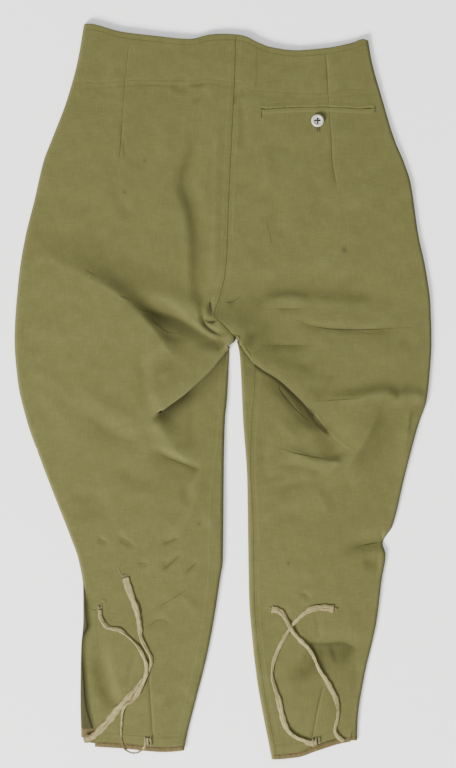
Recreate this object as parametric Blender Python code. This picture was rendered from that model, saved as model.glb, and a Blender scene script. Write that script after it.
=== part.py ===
"""Military breeches of khaki cotton, laid flat with the back up.

World frame in metres: X across with the waist away at +Y, Z up, the floor at zero.
The tables below are in millimetres: "across" from the middle, plus to the right, and
"down" from the waist corner towards the hems.
"""
from collections import namedtuple
import math

import bpy
from mathutils import Vector
from mathutils.bvhtree import BVHTree
import numpy as np

MM = 0.001
MIDDLE_ACROSS = 0.6
MIDDLE_DOWN = 470.6

CLOTH = 1.2
GAP = 0.3
SEAM_HALF_GAP = 0.2
EDGE_LIFT = 0.5
ROLL = 7.0
LYING = 4.3
LEAST = 2.8
FRONT_INSET = 3.6
BINDING_DEEP = 6.0
BINDING_WALL = 1.6
FRONT_SHORT = 4.0

FOLD_LAP_LOW = 6.0
FOLD_LAP_FULL = 8.0

SLIT_WIDE = 1.2
BACKING_WALL = 1.0
BUTTON_RADIUS = 8.2
BUTTON_THICK = 2.8
BUTTON_ACROSS, BUTTON_DOWN = 121.6, 123.8
TAPE_WIDE = 7.0
TAPE_WALL = 0.9
TAPE_CLEAR = 0.4

# Outlines, each row (down, across)
LEFT_SIDE = (
    (0, -178), (46, -186), (97, -200), (148, -219.5), (174, -229.5), (225, -241.5), (276, -254),
    (328, -262), (404, -267), (456, -263), (507, -251.5), (558, -233.5), (609, -214), (660, -194),
    (686, -185), (722, -179), (763, -178.8), (800, -181.5), (860, -182.5), (925, -181),
)
RIGHT_SIDE = (
    (14, 186), (46, 191.5), (97, 205.5), (148, 221), (174, 232), (201, 241), (270, 251.5),
    (312, 260.5), (361, 267), (407, 268.2), (451, 265.5), (481, 262), (512, 251.5), (580, 233.5),
    (644, 217.5), (665, 205.5), (679, 209.3), (712, 204.2), (763, 198), (840, 181), (891, 173.5),
    (920, 172.5),
)
LEFT_CROTCH = (
    (404, 9), (412, 8.6), (430, 8.3), (481, 5.8), (507, 3.2), (558, 1.9), (686, 0.6), (712, -3.2),
    (763, -11), (814, -21), (865, -34), (916, -46.5), (932, -49),
)
RIGHT_CROTCH = (
    (404, 9), (411, 18), (418, 21), (430, 22.4), (507, 26.2), (584, 31.5), (660, 32.6), (737, 34), (788, 38),
    (840, 44), (891, 53), (916, 58), (942, 63),
)
SEAT_SEAM = (
    (0, 17.6), (72, 15.4), (136, 12.2), (200, 9.1), (238, 7.4), (288, 6), (321, 3.2), (338, -0.6),
    (355, -5), (368, -8.6), (378, -8.3), (389, -1), (398, 6), (404, 8.8),
)
LEFT_INSEAM = (
    (412, 8.4), (421, 4.1), (456, 3), (520, 0.2), (587, -8.3), (608, -10), (700, -12), (788, -23),
    (865, -41), (932, -56),
)
RIGHT_INSEAM = (
    (404, 17.2), (414, 22.6), (420, 28), (430, 34), (436, 41.6), (460, 41), (502, 37.5), (563, 35.6),
    (640, 39), (740, 40.5), (840, 51), (891, 60), (942, 70),
)
LEFT_VENT_EDGE = (
    (716, -179.2), (726, -175.6), (758, -174), (771, -172), (785, -178.5), (804, -179.5), (830, -177.7),
    (873, -173.8), (916, -163.5), (932, -163.5),
)
RIGHT_VENT_EDGE = (
    (885, 174), (895, 173.3), (902, 168), (908, 165), (920, 164), (932, 164),
)

# Edges that run across, each row (across, down)
WAIST_EDGE = (
    (-178, 0), (-170, -0.8), (-159, 1.3), (-142, 6.4), (-127, 10), (-91, 14.3), (-42, 18.8), (-15, 13),
    (0, 12.3), (18, 13), (30, 15.5), (42, 21.5), (61, 29), (93, 33.3), (130, 30.7), (166, 23.7),
    (180, 19), (187, 20.8),
)
LEFT_HEM = ((-182, 922), (-164, 925.4), (-131, 927.5), (-74, 932.4), (-57, 931.4), (-47, 930))
RIGHT_HEM = ((60, 940.5), (64, 941.9), (95, 939.3), (122, 930.6), (151, 921.6), (164, 919), (173, 917.5))

# The two folds at the fork, where the seat laps over the thigh: (across, down) along the lap
LEFT_LAP = (
    (8.4, 415.5), (4.1, 421), (-13.4, 442.2), (-27.5, 455.7), (-48, 474), (-65, 486.5), (-88, 502.5),
    (-125, 521), (-165, 534), (-205, 544), (-253, 553),
)
RIGHT_LAP = (
    (17.5, 404), (22, 413), (28, 420), (34, 430), (41.6, 435.8), (51, 443), (68.5, 453), (85, 467),
    (105, 487), (122, 509.5), (137, 526), (165, 548), (205, 564), (238, 572),
)

# Each large fold: right and left are the heights on either hand of someone who walks its path in
# the picture, reach is how far each side carries, edge is how soft the change between them is
Fold = namedtuple("Fold", "name path right right_reach left left_reach edge fade")
LEFT_FOLDS = (
    Fold("hip ridge", ((-238, 262), (-217, 293), (-185, 319), (-132, 346), (-102, 375), (-62, 426)),
         5.0, 60, -2.5, 45, 5, (0.25, 0.12)),
    Fold("fork roll", ((-80, 320), (-56, 360), (-28, 392), (9, 409)), 5.5, 14, 5.5, 17, 6, (0.3, 0.1)),
    Fold("seat hollow", ((-38, 110), (-42, 200), (-36, 300), (-27, 378)),
         -3.0, 16, -3.0, 16, 8, (0.35, 0.2)),
    Fold("lap hollow", ((-60, 430), (-40, 425), (-12, 412)), -2.0, 22, -2.0, 12, 8, (0.3, 0.3)),
    Fold("knee ridge", ((-88, 505), (-78, 525), (-55, 552)), 3.0, 16, 3.0, 20, 6, (0.2, 0.4)),
    Fold("knee step", ((-93, 541), (-70, 550), (-49, 563), (-28, 572)),
         -2.2, 26, 2.0, 26, 5, (0.25, 0.3)),
    Fold("thigh trough", ((-190, 493), (-147, 517), (-117, 532), (-100, 556)),
         -1.8, 20, -1.8, 20, 8, (0.3, 0.3)),
    Fold("calf trough", ((-160, 770), (-152, 831), (-141, 880)), -1.4, 9, -1.4, 9, 5, (0.3, 0.3)),
)
RIGHT_FOLDS = (
    Fold("seat trough", ((60, 350), (125, 340), (210, 343)), -2.2, 16, -2.2, 18, 6, (0.25, 0.3)),
    Fold("seat line", ((98, 380), (140, 391), (190, 394), (242, 387)),
         1.6, 34, -1.4, 10, 3, (0.25, 0.3)),
    Fold("thigh step", ((118, 484), (162, 481), (190, 479), (240, 474), (264, 481)),
         3.4, 34, -2.2, 22, 4, (0.25, 0.15)),
    Fold("thigh ridge", ((203, 486), (180, 527), (154, 571)), 2.4, 20, 2.4, 14, 6, (0.3, 0.4)),
    Fold("knee hollow", ((146, 515), (150, 560)), -3.0, 15, -3.0, 15, 8, (0.3, 0.3)),
    Fold("knee line", ((100, 547), (125, 557), (154, 566)), 1.8, 22, -1.8, 18, 5, (0.3, 0.3)),
    Fold("lap pocket", ((50, 444), (80, 474), (104, 505), (124, 530)), -1.0, 8, -1.0, 24, 6, (0.2, 0.3)),
    Fold("calf line", ((92, 798), (131, 792), (165, 794), (180, 808)),
         -2.4, 24, 1.6, 16, 3, (0.2, 0.3)),
)

# Broad swells of the cloth: middle, height, and how far it reaches across and down
Swell = namedtuple("Swell", "across down rise wide deep")
LEFT_SWELLS = (
    Swell(-150, 420, 3.0, 80, 110), Swell(-105, 180, 1.0, 70, 90), Swell(-75, 640, 2.2, 70, 90),
    Swell(-110, 830, 1.5, 50, 80),
)
RIGHT_SWELLS = (
    Swell(150, 420, 3.2, 80, 90), Swell(120, 250, 1.2, 80, 80), Swell(110, 640, 2.4, 70, 90),
    Swell(110, 730, 1.8, 50, 50), Swell(115, 870, 1.2, 45, 60),
)
LAP_RISE, LAP_REACH = 6.5, 34
LAP_DROP, LAP_DROP_REACH = 1.6, 26
LAP_FADES_AT, LAP_GONE_AT = 0.30, 0.48
RIGHT_OVER_LEFT = 2.4

# The lap's profile: how far back from its edge, and the share of its height
LapStep = namedtuple("LapStep", "back height")
LAP_PROFILE = (
    LapStep(5.0, 1.0), LapStep(1.4, 0.96), LapStep(0.0, 0.74), LapStep(1.2, 0.50), LapStep(4.0, 0.42),
    LapStep(6.6, 0.30), LapStep(6.8, 0.14), LapStep(4.5, 0.02), LapStep(-2.0, 0.0),
)

# Routes of the four calf tapes from the free end to the stitched end, (across, down)
TAPE_LEFT_VENT = (
    (-125, 709), (-121, 722), (-116, 735), (-111, 748), (-108, 760), (-106, 772), (-105, 783),
    (-101, 793), (-96, 802), (-91.5, 811), (-92, 822), (-98, 834), (-107, 845), (-117, 857),
    (-127, 869), (-136, 879), (-144, 890), (-153, 900), (-161, 908), (-169, 914), (-178, 916),
)
TAPE_LEFT_SEAM = (
    (-157, 750), (-156, 760), (-149, 771), (-140, 774), (-131, 776), (-120, 785), (-110, 795),
    (-103, 806), (-98, 819), (-98, 831), (-102, 843), (-108, 855), (-115, 865), (-124, 872),
    (-128, 883), (-127, 894), (-129, 907), (-131, 918), (-127, 926), (-119, 931), (-109, 931),
    (-102, 926), (-100, 916),
)
TAPE_RIGHT_VENT = (
    (64, 750), (71, 750), (77, 755), (83, 765), (89, 776), (98, 787), (108, 797), (115, 807),
    (120, 818), (125, 828), (132, 839), (139, 851), (145, 863), (148, 876), (147, 890), (144, 903),
    (148, 912), (155, 918),
)
TAPE_RIGHT_SEAM = (
    (142, 749), (130, 747), (117, 748), (106, 753), (97, 761), (88, 771), (80, 784), (73, 797),
    (67, 811), (64, 824), (64, 838), (68, 852), (72, 866), (75, 881), (79, 896), (85, 906), (94, 913),
    (104, 919), (118, 922),
)


def clear_scene():
    """Take out whatever the open file holds."""
    for thing in list(bpy.data.objects):
        bpy.data.objects.remove(thing, do_unlink=True)


def soft_step(share):
    """Zero to one with level ends."""
    share = np.clip(share, 0.0, 1.0)
    return share * share * (3.0 - 2.0 * share)


def curve(rows):
    """A smooth function through rows of (place, value), which never overshoots them."""
    table = np.array(rows, dtype=float)
    place, value = table[:, 0], table[:, 1]
    run = np.diff(place)
    slope = np.diff(value) / run
    tangent = np.empty_like(place)
    tangent[0], tangent[-1] = slope[0], slope[-1]
    product = slope[:-1] * slope[1:]
    total = slope[:-1] + slope[1:]
    safe = np.where(product > 0, total, 1.0)
    tangent[1:-1] = np.where(product > 0, 2.0 * product / safe, 0.0)

    def at(where):
        where = np.clip(where, place[0], place[-1])
        i = np.clip(np.searchsorted(place, where, side="right") - 1, 0, len(run) - 1)
        u = (where - place[i]) / run[i]
        rise = value[i] * (1 + 2 * u) * (1 - u) ** 2 + value[i + 1] * u * u * (3 - 2 * u)
        lean = tangent[i] * u * (1 - u) ** 2 - tangent[i + 1] * u * u * (1 - u)
        return rise + lean * run[i]

    return at


def smooth_path(points, steps=6):
    """Points along a soft line through the given ones."""
    path = np.array(points, dtype=float)
    ends = np.vstack([2 * path[0] - path[1], path, 2 * path[-1] - path[-2]])
    found = []
    for i in range(len(path) - 1):
        before, start, end, after = ends[i:i + 4]
        for k in range(steps):
            u = k / steps
            found.append(0.5 * (2 * start + (end - before) * u
                                + (2 * before - 5 * start + 4 * end - after) * u ** 2
                                + (3 * start - before - 3 * end + after) * u ** 3))
    found.append(path[-1])
    return np.array(found)


def beside(across, down, path):
    """Signed distance to a path, plus on its right hand, and the share of the path passed."""
    start, step = path[:-1], np.diff(path, axis=0)
    length = np.hypot(step[:, 0], step[:, 1])
    passed = np.concatenate([[0.0], np.cumsum(length)])
    dx = across[..., None] - start[:, 0]
    dy = down[..., None] - start[:, 1]
    u = np.clip((dx * step[:, 0] + dy * step[:, 1]) / length ** 2, 0.0, 1.0)
    away = np.hypot(dx - u * step[:, 0], dy - u * step[:, 1])
    nearest = np.argmin(away, axis=-1)
    pick = lambda values: np.take_along_axis(values, nearest[..., None], axis=-1)[..., 0]
    side = np.sign(step[nearest, 0] * pick(dy) - step[nearest, 1] * pick(dx))
    return side * pick(away), (passed[nearest] + pick(u) * length[nearest]) / passed[-1]


def fold_height(across, down, fold):
    """Height that one fold adds."""
    off, share = beside(across, down, smooth_path(fold.path))
    on_right = 0.5 * (1 + np.tanh(off / fold.edge))
    height = fold.right * np.exp(-(off / fold.right_reach) ** 2) * on_right
    height += fold.left * np.exp(-(off / fold.left_reach) ** 2) * (1 - on_right)
    first, last = fold.fade
    return height * soft_step(share / first) * soft_step((1 - share) / last)


SEAT_ROWS = (0, 14, 32, 58, 84, 108, 130, 155, 180, 205, 228, 248, 266, 282, 296, 308, 319, 329, 338,
             347, 355, 362, 368, 374, 380, 385, 390)


class Leg:
    """One half of the breeches: its outlines, its folds and the height of its cloth."""

    def __init__(self, turn, side, crotch, seam, inseam, hem, lap, corner, folds, swells):
        self.turn = turn
        self.side, self.crotch, self.seam = curve(side), curve(crotch), curve(seam)
        self.inseam, self.hem = curve(inseam), curve(hem)
        self.crotch_top = crotch[0]
        self.lap = smooth_path(lap, 8)
        self.lap_corner = corner
        self.seat_rows = SEAT_ROWS if turn < 0 else SEAT_ROWS[:-1]
        self.folds, self.swells = folds, swells

    def height(self, across, down, below):
        """Top of the cloth, for the sheet above the lap or, with below, under it."""
        across, down = np.broadcast_arrays(np.asarray(across, float), np.asarray(down, float))
        level = np.full(across.shape, LYING)
        for swell in self.swells:
            level = level + swell.rise * np.exp(-((across - swell.across) / swell.wide) ** 2
                                                - ((down - swell.down) / swell.deep) ** 2)
        for fold in self.folds:
            level = level + fold_height(across, down, fold)
        off, share = beside(across, down, self.lap)
        fades = 1 - soft_step((share - LAP_FADES_AT) / (LAP_GONE_AT - LAP_FADES_AT))
        above = LAP_RISE * np.exp(-(off / LAP_REACH) ** 2)
        under = -LAP_DROP * np.exp(-(off / LAP_DROP_REACH) ** 2)
        level = level + fades * np.where(below, under, above)
        if self.turn > 0:
            lapped = np.exp(-((down - 388) / 16.0) ** 2) * np.exp(-((across - 0) / 30.0) ** 2)
            level = level + RIGHT_OVER_LEFT * lapped
        level = LEAST + np.logaddexp(0.0, (level - LEAST) * 1.6) / 1.6
        return EDGE_LIFT + (level - EDGE_LIFT) * self.rolled(across, down)

    def rolled(self, across, down):
        """One on the flat, and down to zero where the cloth turns under at the outline."""
        outer = self.turn * (self.side(down) - across)
        top_down, top_across = self.crotch_top
        beyond = np.maximum(0.0, top_down - down)
        inner = np.hypot(np.maximum(0.0, self.turn * (across - self.crotch(down))), beyond)
        inner = np.where(beyond > 0, np.hypot(across - top_across, beyond), inner)
        near = np.clip(np.minimum(outer, inner) / ROLL, 0.0, 1.0)
        return np.sqrt(1 - (1 - near) ** 2)


LEFT = Leg(-1, LEFT_SIDE, LEFT_CROTCH, SEAT_SEAM + ((412, 8.6), (416, 8.3), (430, 7.6), (470, 3)),
           LEFT_INSEAM, LEFT_HEM, LEFT_LAP, 421, LEFT_FOLDS, LEFT_SWELLS)
RIGHT = Leg(1, RIGHT_SIDE, RIGHT_CROTCH,
            SEAT_SEAM + ((411, 18), (418, 21.4), (430, 24), (460, 31), (502, 36.5), (530, 36.4)),
            RIGHT_INSEAM, RIGHT_HEM, RIGHT_LAP, 435.7, RIGHT_FOLDS, RIGHT_SWELLS)
WAIST = curve(WAIST_EDGE)

ROLL_ANGLES = (0, 28, 56, 90)
PANEL_COLUMNS = (0.09, 0.18, 0.27, 0.36, 0.45, 0.54, 0.61, 0.67, 0.72, 0.765, 0.81, 0.855, 0.9, 0.94, 0.97, 1.0)
LEG_ROWS = (0.016, 0.034, 0.055, 0.08, 0.11, 0.145, 0.18, 0.22, 0.26, 0.31, 0.36, 0.42, 0.48, 0.54, 0.60,
            0.66, 0.70, 0.73, 0.76, 0.79, 0.83, 0.87, 0.91, 0.95, 0.98, 1.0)


SETTLE = 24
FORK_SAG = 14.0


def columns_between(outer, inner, turn):
    """Places across a row: close together where the side rolls under, then spread inwards."""
    rolled = [ROLL * (1 - math.cos(math.radians(angle))) for angle in ROLL_ANGLES]
    width = turn * (outer - inner)
    spread = [ROLL + share * (width - ROLL) for share in PANEL_COLUMNS]
    return outer - turn * np.array(rolled + spread)


def share_of(leg, across, down, inner):
    """Where a point lies between the side, zero, and the inner edge, one."""
    outer = leg.side(down)
    return (across - outer) / (inner(down) - outer)


def row_table(leg, points, inner):
    """Down along a row as a function of the share from side to inner edge."""
    shares = share_of(leg, points[:, 0], points[:, 1], inner)
    order = np.argsort(shares)
    shares, downs = shares[order], points[order, 1]
    keep = np.concatenate([[True], np.diff(shares) > 1e-4])
    return lambda share: np.interp(share, shares[keep], downs[keep])


def edge_points(edge, first, last, count=60):
    """Points along an edge that runs across."""
    across = np.linspace(first, last, count)
    return np.stack([across, edge(across)], axis=1)


def panel_grid(leg, outer_edge, hem_rise):
    """Points of a back panel, row by row: the seat, the lap's own rows, then the leg."""
    seat_inner = lambda down: leg.seam(down) + leg.turn * SEAM_HALF_GAP
    leg_inner = lambda down: leg.inseam(down) + leg.turn * SEAM_HALF_GAP
    count = len(ROLL_ANGLES) + len(PANEL_COLUMNS)
    waist_far = -178.0 if leg.turn < 0 else 186.5
    waist_row = row_table(leg, edge_points(WAIST, waist_far, 17.5), leg.seam)
    lap_row = row_table(leg, leg.lap, leg.seam)
    low_row = row_table(leg, leg.lap[leg.lap[:, 1] >= leg.lap_corner], leg.inseam)
    hem_far = float(outer_edge(925.0))
    hem_near = float(leg.inseam(930.0))
    hem_row = row_table(leg, edge_points(leg.hem, hem_far, hem_near), leg.inseam)

    def place(row_down, inner, outer):
        """Columns of one row whose level is a function of the share."""
        down = np.full(count, float(row_down(0.5)))
        for _ in range(SETTLE):
            across = np.array([columns_between(float(outer(d)), float(inner(d)), leg.turn)[k]
                               for k, d in enumerate(down)])
            share = (across - outer(down)) / (inner(down) - outer(down))
            down = 0.6 * down + 0.4 * np.array([float(row_down(s)) for s in share])
        return across, down

    def seat_level(at_seam):
        """A seat row: level at the seam is given, and it leans towards the lap below."""
        def level(share):
            top, lap = waist_row(share), lap_row(share)
            part = (at_seam - waist_row(1.0)) / (lap_row(1.0) - waist_row(1.0))
            flatter = FORK_SAG * soft_step((at_seam - 340) / 50) * (1 - share) / 0.04
            return top + part * (lap - top) - flatter * np.exp(-(1 - share) / 0.04)
        return level

    rows, below = [], []
    for at_seam in leg.seat_rows:
        level = max(at_seam, float(waist_row(1.0))) if at_seam == 0 else at_seam
        rows.append(place(seat_level(level), seat_inner, leg.side))
        below.append(False)

    lip = place(lap_row, seat_inner, leg.side)
    low = place(low_row, leg_inner, leg.side)
    lip_x, lip_y, low_x, low_y = lip[0], lip[1], low[0], low[1]
    tangent_x, tangent_y = np.gradient(lip_x), np.gradient(lip_y)
    size = np.hypot(tangent_x, tangent_y)
    out_x, out_y = -tangent_y / size, tangent_x / size
    turn_out = np.where(out_y < 0, -1.0, 1.0)
    out_x, out_y = out_x * turn_out, out_y * turn_out
    over = leg.height(lip_x - 5 * out_x, lip_y - 5 * out_y, False)
    under = leg.height(low_x + 2 * out_x, low_y + 2 * out_y, True)
    drop = over - under
    laps = soft_step((drop - FOLD_LAP_LOW) / (FOLD_LAP_FULL - FOLD_LAP_LOW))
    lap_points = []
    for k, step in enumerate(LAP_PROFILE):
        part = k / (len(LAP_PROFILE) - 1)
        back = (1 - laps) * (5.0 - 7.0 * part) + laps * step.back
        fall = (1 - laps) * (1 - soft_step(part)) + laps * step.height
        across = lip_x + part * (low_x - lip_x) - back * out_x
        down = lip_y + part * (low_y - lip_y) - back * out_y
        lap_points.append(np.stack([across, down, under + fall * drop], axis=1))

    leg_rows = []
    start = low_row
    for part in LEG_ROWS:
        def level(share, part=part):
            first = start(share) + 2.0
            last = hem_row(share) - hem_rise
            return first + part * (last - first)
        leg_rows.append(place(level, leg_inner, outer_edge))

    grid = []
    for across, down in rows:
        grid.append(np.stack([across, down, leg.height(across, down, False)], axis=1))
    grid.extend(lap_points)
    for across, down in leg_rows:
        grid.append(np.stack([across, down, leg.height(across, down, True)], axis=1))
    return np.array(grid)


def world(points):
    """Garment millimetres to world metres."""
    points = np.asarray(points, dtype=float)
    return np.stack([(points[..., 0] - MIDDLE_ACROSS) * MM, (MIDDLE_DOWN - points[..., 1]) * MM,
                     points[..., 2] * MM], axis=-1)


def material(name, colour, roughness):
    """A plain finish."""
    finish = bpy.data.materials.new(name)
    finish.use_nodes = True
    shader = finish.node_tree.nodes["Principled BSDF"]
    shader.inputs["Base Color"].default_value = (*colour, 1.0)
    shader.inputs["Roughness"].default_value = roughness
    shader.inputs["Metallic"].default_value = 0.0
    return finish


def add_object(name, vertices, faces, finish):
    """A mesh object in the scene."""
    mesh = bpy.data.meshes.new(name)
    mesh.from_pydata([tuple(v) for v in vertices], [], faces)
    mesh.update()
    mesh.materials.append(finish)
    thing = bpy.data.objects.new(name, mesh)
    bpy.context.scene.collection.objects.link(thing)
    return thing


SLOPE_STEP = 0.4


def grid_normals(grid):
    """Upward normals of a grid, from its own points."""
    along, across = np.gradient(grid, axis=0), np.gradient(grid, axis=1)
    normal = np.cross(along, across)
    normal /= np.linalg.norm(normal, axis=2)[..., None]
    return normal if normal[0, 0, 2] > 0 else -normal


def cloth_normals(leg, points, below):
    """Upward normals of the laid cloth, from its height on all sides of each point."""
    across, down = points[..., 0], points[..., 1]
    h = SLOPE_STEP
    lean_x = leg.height(across + h, down, below) - leg.height(across - h, down, below)
    lean_y = leg.height(across, down + h, below) - leg.height(across, down - h, below)
    normal = np.stack([-lean_x / (2 * h), -lean_y / (2 * h), np.ones_like(lean_x)], axis=-1)
    outwards = leg.turn * (leg.side(down) - across) < h
    normal[outwards] = (leg.turn, 0.0, 0.15)
    inwards = (down > leg.crotch_top[0] + 8) & (leg.turn * (across - leg.crotch(down)) < h)
    normal[inwards] = (-leg.turn, 0.0, 0.15)
    return normal / np.linalg.norm(normal, axis=-1)[..., None]


def add_sheet(name, grid, finish, wall, normals=None, upwards=False):
    """A closed wall of cloth with its outer face on a grid of points."""
    grid = np.asarray(grid, dtype=float)
    high, wide = grid.shape[:2]
    normals = np.zeros_like(grid) + (0.0, 0.0, 1.0) if normals is None else normals
    other = grid + normals * wall if upwards else grid - normals * wall
    top, bottom = (other, grid) if upwards else (grid, other)
    vertices = np.concatenate([world(top).reshape(-1, 3), world(bottom).reshape(-1, 3)])
    count = high * wide
    row_step, column_step = grid[1, 0] - grid[0, 0], grid[0, 1] - grid[0, 0]
    leftwards = row_step[0] * column_step[1] > row_step[1] * column_step[0]
    faces = []

    def add(face):
        faces.append(tuple(reversed(face)) if leftwards else face)

    level = grid[..., 2].reshape(-1)
    for row in range(high - 1):
        for col in range(wide - 1):
            a = row * wide + col
            b, c, d = a + wide, a + wide + 1, a + 1
            straight = abs(level[a] - level[c]) < abs(level[b] - level[d])
            for face in ((a, b, c), (a, c, d)) if straight else ((a, b, d), (b, c, d)):
                add(face)
                add(tuple(v + count for v in reversed(face)))
    rim = [(0, col) for col in range(wide)] + [(row, wide - 1) for row in range(1, high)]
    rim += [(high - 1, col) for col in range(wide - 2, -1, -1)] + [(row, 0) for row in range(high - 2, 0, -1)]
    loop = [row * wide + col for row, col in rim]
    for here, there in zip(loop, loop[1:] + loop[:1]):
        add((here, there, there + count, here + count))
    return add_object(name, vertices, faces, finish)


def build_back(leg, name, vent_edge, finish):
    """A back panel, waist to hem, with its outline at the calf vent."""
    vent = curve(vent_edge)

    def outer_edge(down):
        inwards = leg.turn * np.minimum(leg.turn * leg.side(down), leg.turn * vent(down))
        return np.where(down > vent_edge[0][0], inwards, leg.side(down))

    grid = panel_grid(leg, outer_edge, BINDING_DEEP + GAP)
    normals = grid_normals(grid)
    seat, lap = len(leg.seat_rows), len(leg.seat_rows) + len(LAP_PROFILE)
    normals[:seat] = cloth_normals(leg, grid[:seat], False)
    normals[lap:] = cloth_normals(leg, grid[lap:], True)
    normals[:lap, 0] = normals[lap, 0]
    return add_sheet(name, grid, finish, CLOTH, normals), grid


FRONT_LEVELS = (60, 110, 160, 215, 270, 325, 380, 403, 411, 420, 432, 480, 530, 585, 644, 656, 666, 680, 712,
                760, 820, 870)
FRONT_SHARES = (0.0, 0.12, 0.3, 0.5, 0.7, 0.88, 1.0)
CALF_INSET = 6.5


def front_edges(leg):
    """Inset outline of the flat front under the back."""
    middle = 17.4 + leg.turn * SEAM_HALF_GAP
    calf = lambda down: (CALF_INSET - FRONT_INSET) * soft_step((down - 690) / 30)
    outer = lambda down: leg.side(down) - leg.turn * (FRONT_INSET + calf(down))
    inner = lambda down: np.where(down < 404, middle, leg.crotch(down) + leg.turn * FRONT_INSET)
    return outer, inner


def across_row(outer, inner, shares, level):
    """One row whose level is a function of across."""
    down = np.full(len(shares), float(level(float(outer(450.0)))))
    for _ in range(15):
        across = np.array([float(outer(d)) + s * (float(inner(d)) - float(outer(d)))
                           for s, d in zip(shares, down)])
        down = np.array([float(level(a)) for a in across])
    return across, down


def build_front(leg, name, binding_name, cloth_finish, binding_finish):
    """The front, flat on the floor, and the binding along its hem."""
    outer, inner = front_edges(leg)
    hem_inset = BINDING_DEEP + FRONT_INSET
    levels = [lambda a: WAIST(a) + FRONT_SHORT]
    levels += [lambda a, d=d: d for d in FRONT_LEVELS]
    levels += [lambda a: leg.hem(a) - hem_inset - GAP]
    rows = [across_row(outer, inner, FRONT_SHARES, level) for level in levels]
    grid = [np.stack([across, down, np.full(len(across), CLOTH)], axis=1) for across, down in rows]
    add_sheet(name, grid, cloth_finish, CLOTH)
    edge = []
    for rise in (hem_inset, FRONT_INSET):
        across, down = across_row(outer, inner, FRONT_SHARES, lambda a, r=rise: leg.hem(a) - r)
        edge.append(np.stack([across, down, np.full(len(across), CLOTH)], axis=1))
    add_sheet(binding_name, edge, binding_finish, CLOTH)


TURN_SHARES = (0.0, 0.06, 0.22, 0.55, 1.0)
LAP_CLEAR, LAP_CLEAR_DEEP = 1.6, 16.0


def build_turn(leg, name, back_grid, finish):
    """The strip of the front that turns over the inner leg as far as the inseam."""
    first = leg.lap_corner + 4.0
    downs = [d for d in back_grid[len(leg.seat_rows) + len(LAP_PROFILE):, -1, 1] if d > first + 2]
    if leg.turn > 0:
        downs = [420.0, 425.0, 431.0, 437.0] + [d for d in downs if d > 441]
    else:
        downs = [first] + downs
    grid = []
    for down in downs:
        seam = float(leg.inseam(down)) - leg.turn * SEAM_HALF_GAP
        seam -= leg.turn * LAP_CLEAR * (1 - float(soft_step((down - leg.lap_corner) / LAP_CLEAR_DEEP)))
        outline = float(leg.crotch(down))
        across = np.array([outline + share * (seam - outline) for share in TURN_SHARES])
        level = np.minimum(down, leg.hem(across) - BINDING_DEEP - GAP) if down == downs[-1] else down
        level = np.zeros_like(across) + level
        grid.append(np.stack([across, level, leg.height(across, level, True)], axis=1))
    grid = np.array(grid)
    add_sheet(name, grid, finish, CLOTH, cloth_normals(leg, grid, True))
    return grid


def build_back_binding(leg, name, back_grid, turn_grid, finish):
    """The tape bound round the hem, from the vent over the back to the inner leg."""
    turned = turn_grid[-1, ::-1]
    rows = []
    for rise in (BINDING_DEEP, BINDING_DEEP / 2, 0.0):
        drift = leg.crotch(turned[:, 1] + BINDING_DEEP - rise) - leg.crotch(turned[:, 1])
        drift = drift * (1 - np.array(TURN_SHARES[::-1]))
        across = np.concatenate([back_grid[-1, :, 0], turned[:, 0] + drift])
        down = leg.hem(across) - rise
        height = leg.height(across, down, True) + (BINDING_WALL - CLOTH) / 2
        rows.append(np.stack([across, down, height], axis=1))
    rows = np.array(rows)
    return add_sheet(name, rows, finish, BINDING_WALL, cloth_normals(leg, rows, True))


UNDERLAP_SHARES = (0.0, 0.08, 0.25, 0.5, 1.0)
UNDERLAP_TOP = 2.55
UNDERLAP_TUCK = 8.0


def underlap_row(leg, vent, down, level, tuck):
    """One row of an underlap: level is zero where it lies flush with the back, one under it."""
    outline = float(leg.side(down))
    inner = float(vent(down)) + leg.turn * (SEAM_HALF_GAP * 2 * (1 - tuck) - UNDERLAP_TUCK * tuck)
    across = np.array([outline + share * (inner - outline) for share in UNDERLAP_SHARES])
    flush = leg.height(across, down, True)
    low = EDGE_LIFT + (UNDERLAP_TOP - EDGE_LIFT) * leg.rolled(across, down)
    return np.stack([across, np.full(len(across), down), flush + level * (low - flush)], axis=1)


def build_underlap(leg, name, binding_name, vent_edge, rows, hem, cloth_finish, binding_finish):
    """The front's strip under the open vent: rows of (down, level, tuck), then its bound hem."""
    vent = curve(vent_edge)
    made = []
    for label, finish, lines in ((name, cloth_finish, rows),
                                 (binding_name, binding_finish, [(down, 1.0, 1.0) for down in hem])):
        grid = np.array([underlap_row(leg, vent, *line) for line in lines])
        made.append(add_sheet(label, grid, finish, BACKING_WALL, cloth_normals(leg, grid, True)))
    return made


LEFT_UNDERLAP_ROWS = (
    (727, 0, 0), (742, 0, 0), (756, 0.3, 0), (766, 1, 0), (774, 1, 1), (790, 1, 1),
    (815, 1, 1), (840, 1, 1), (865, 1, 1), (885, 1, 1), (902, 1, 1),
)
LEFT_UNDERLAP_HEM = (902.3, 908, 914)
RIGHT_UNDERLAP_ROWS = ((904, 1, 1), (908, 1, 1), (912, 1, 1))
RIGHT_UNDERLAP_HEM = (912.3, 915, 917.5)

SLIT_LINE = ((49.5, 107.6), (58, 108.2), (72, 107), (106, 105.8), (134, 105.7), (154, 106.5),
             (175, 107.6), (194, 106.6))
BACKING_LEVELS = (-5.0, 0.0, 5.5, 11.0)
BACKING_MARGIN = 4.0


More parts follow.
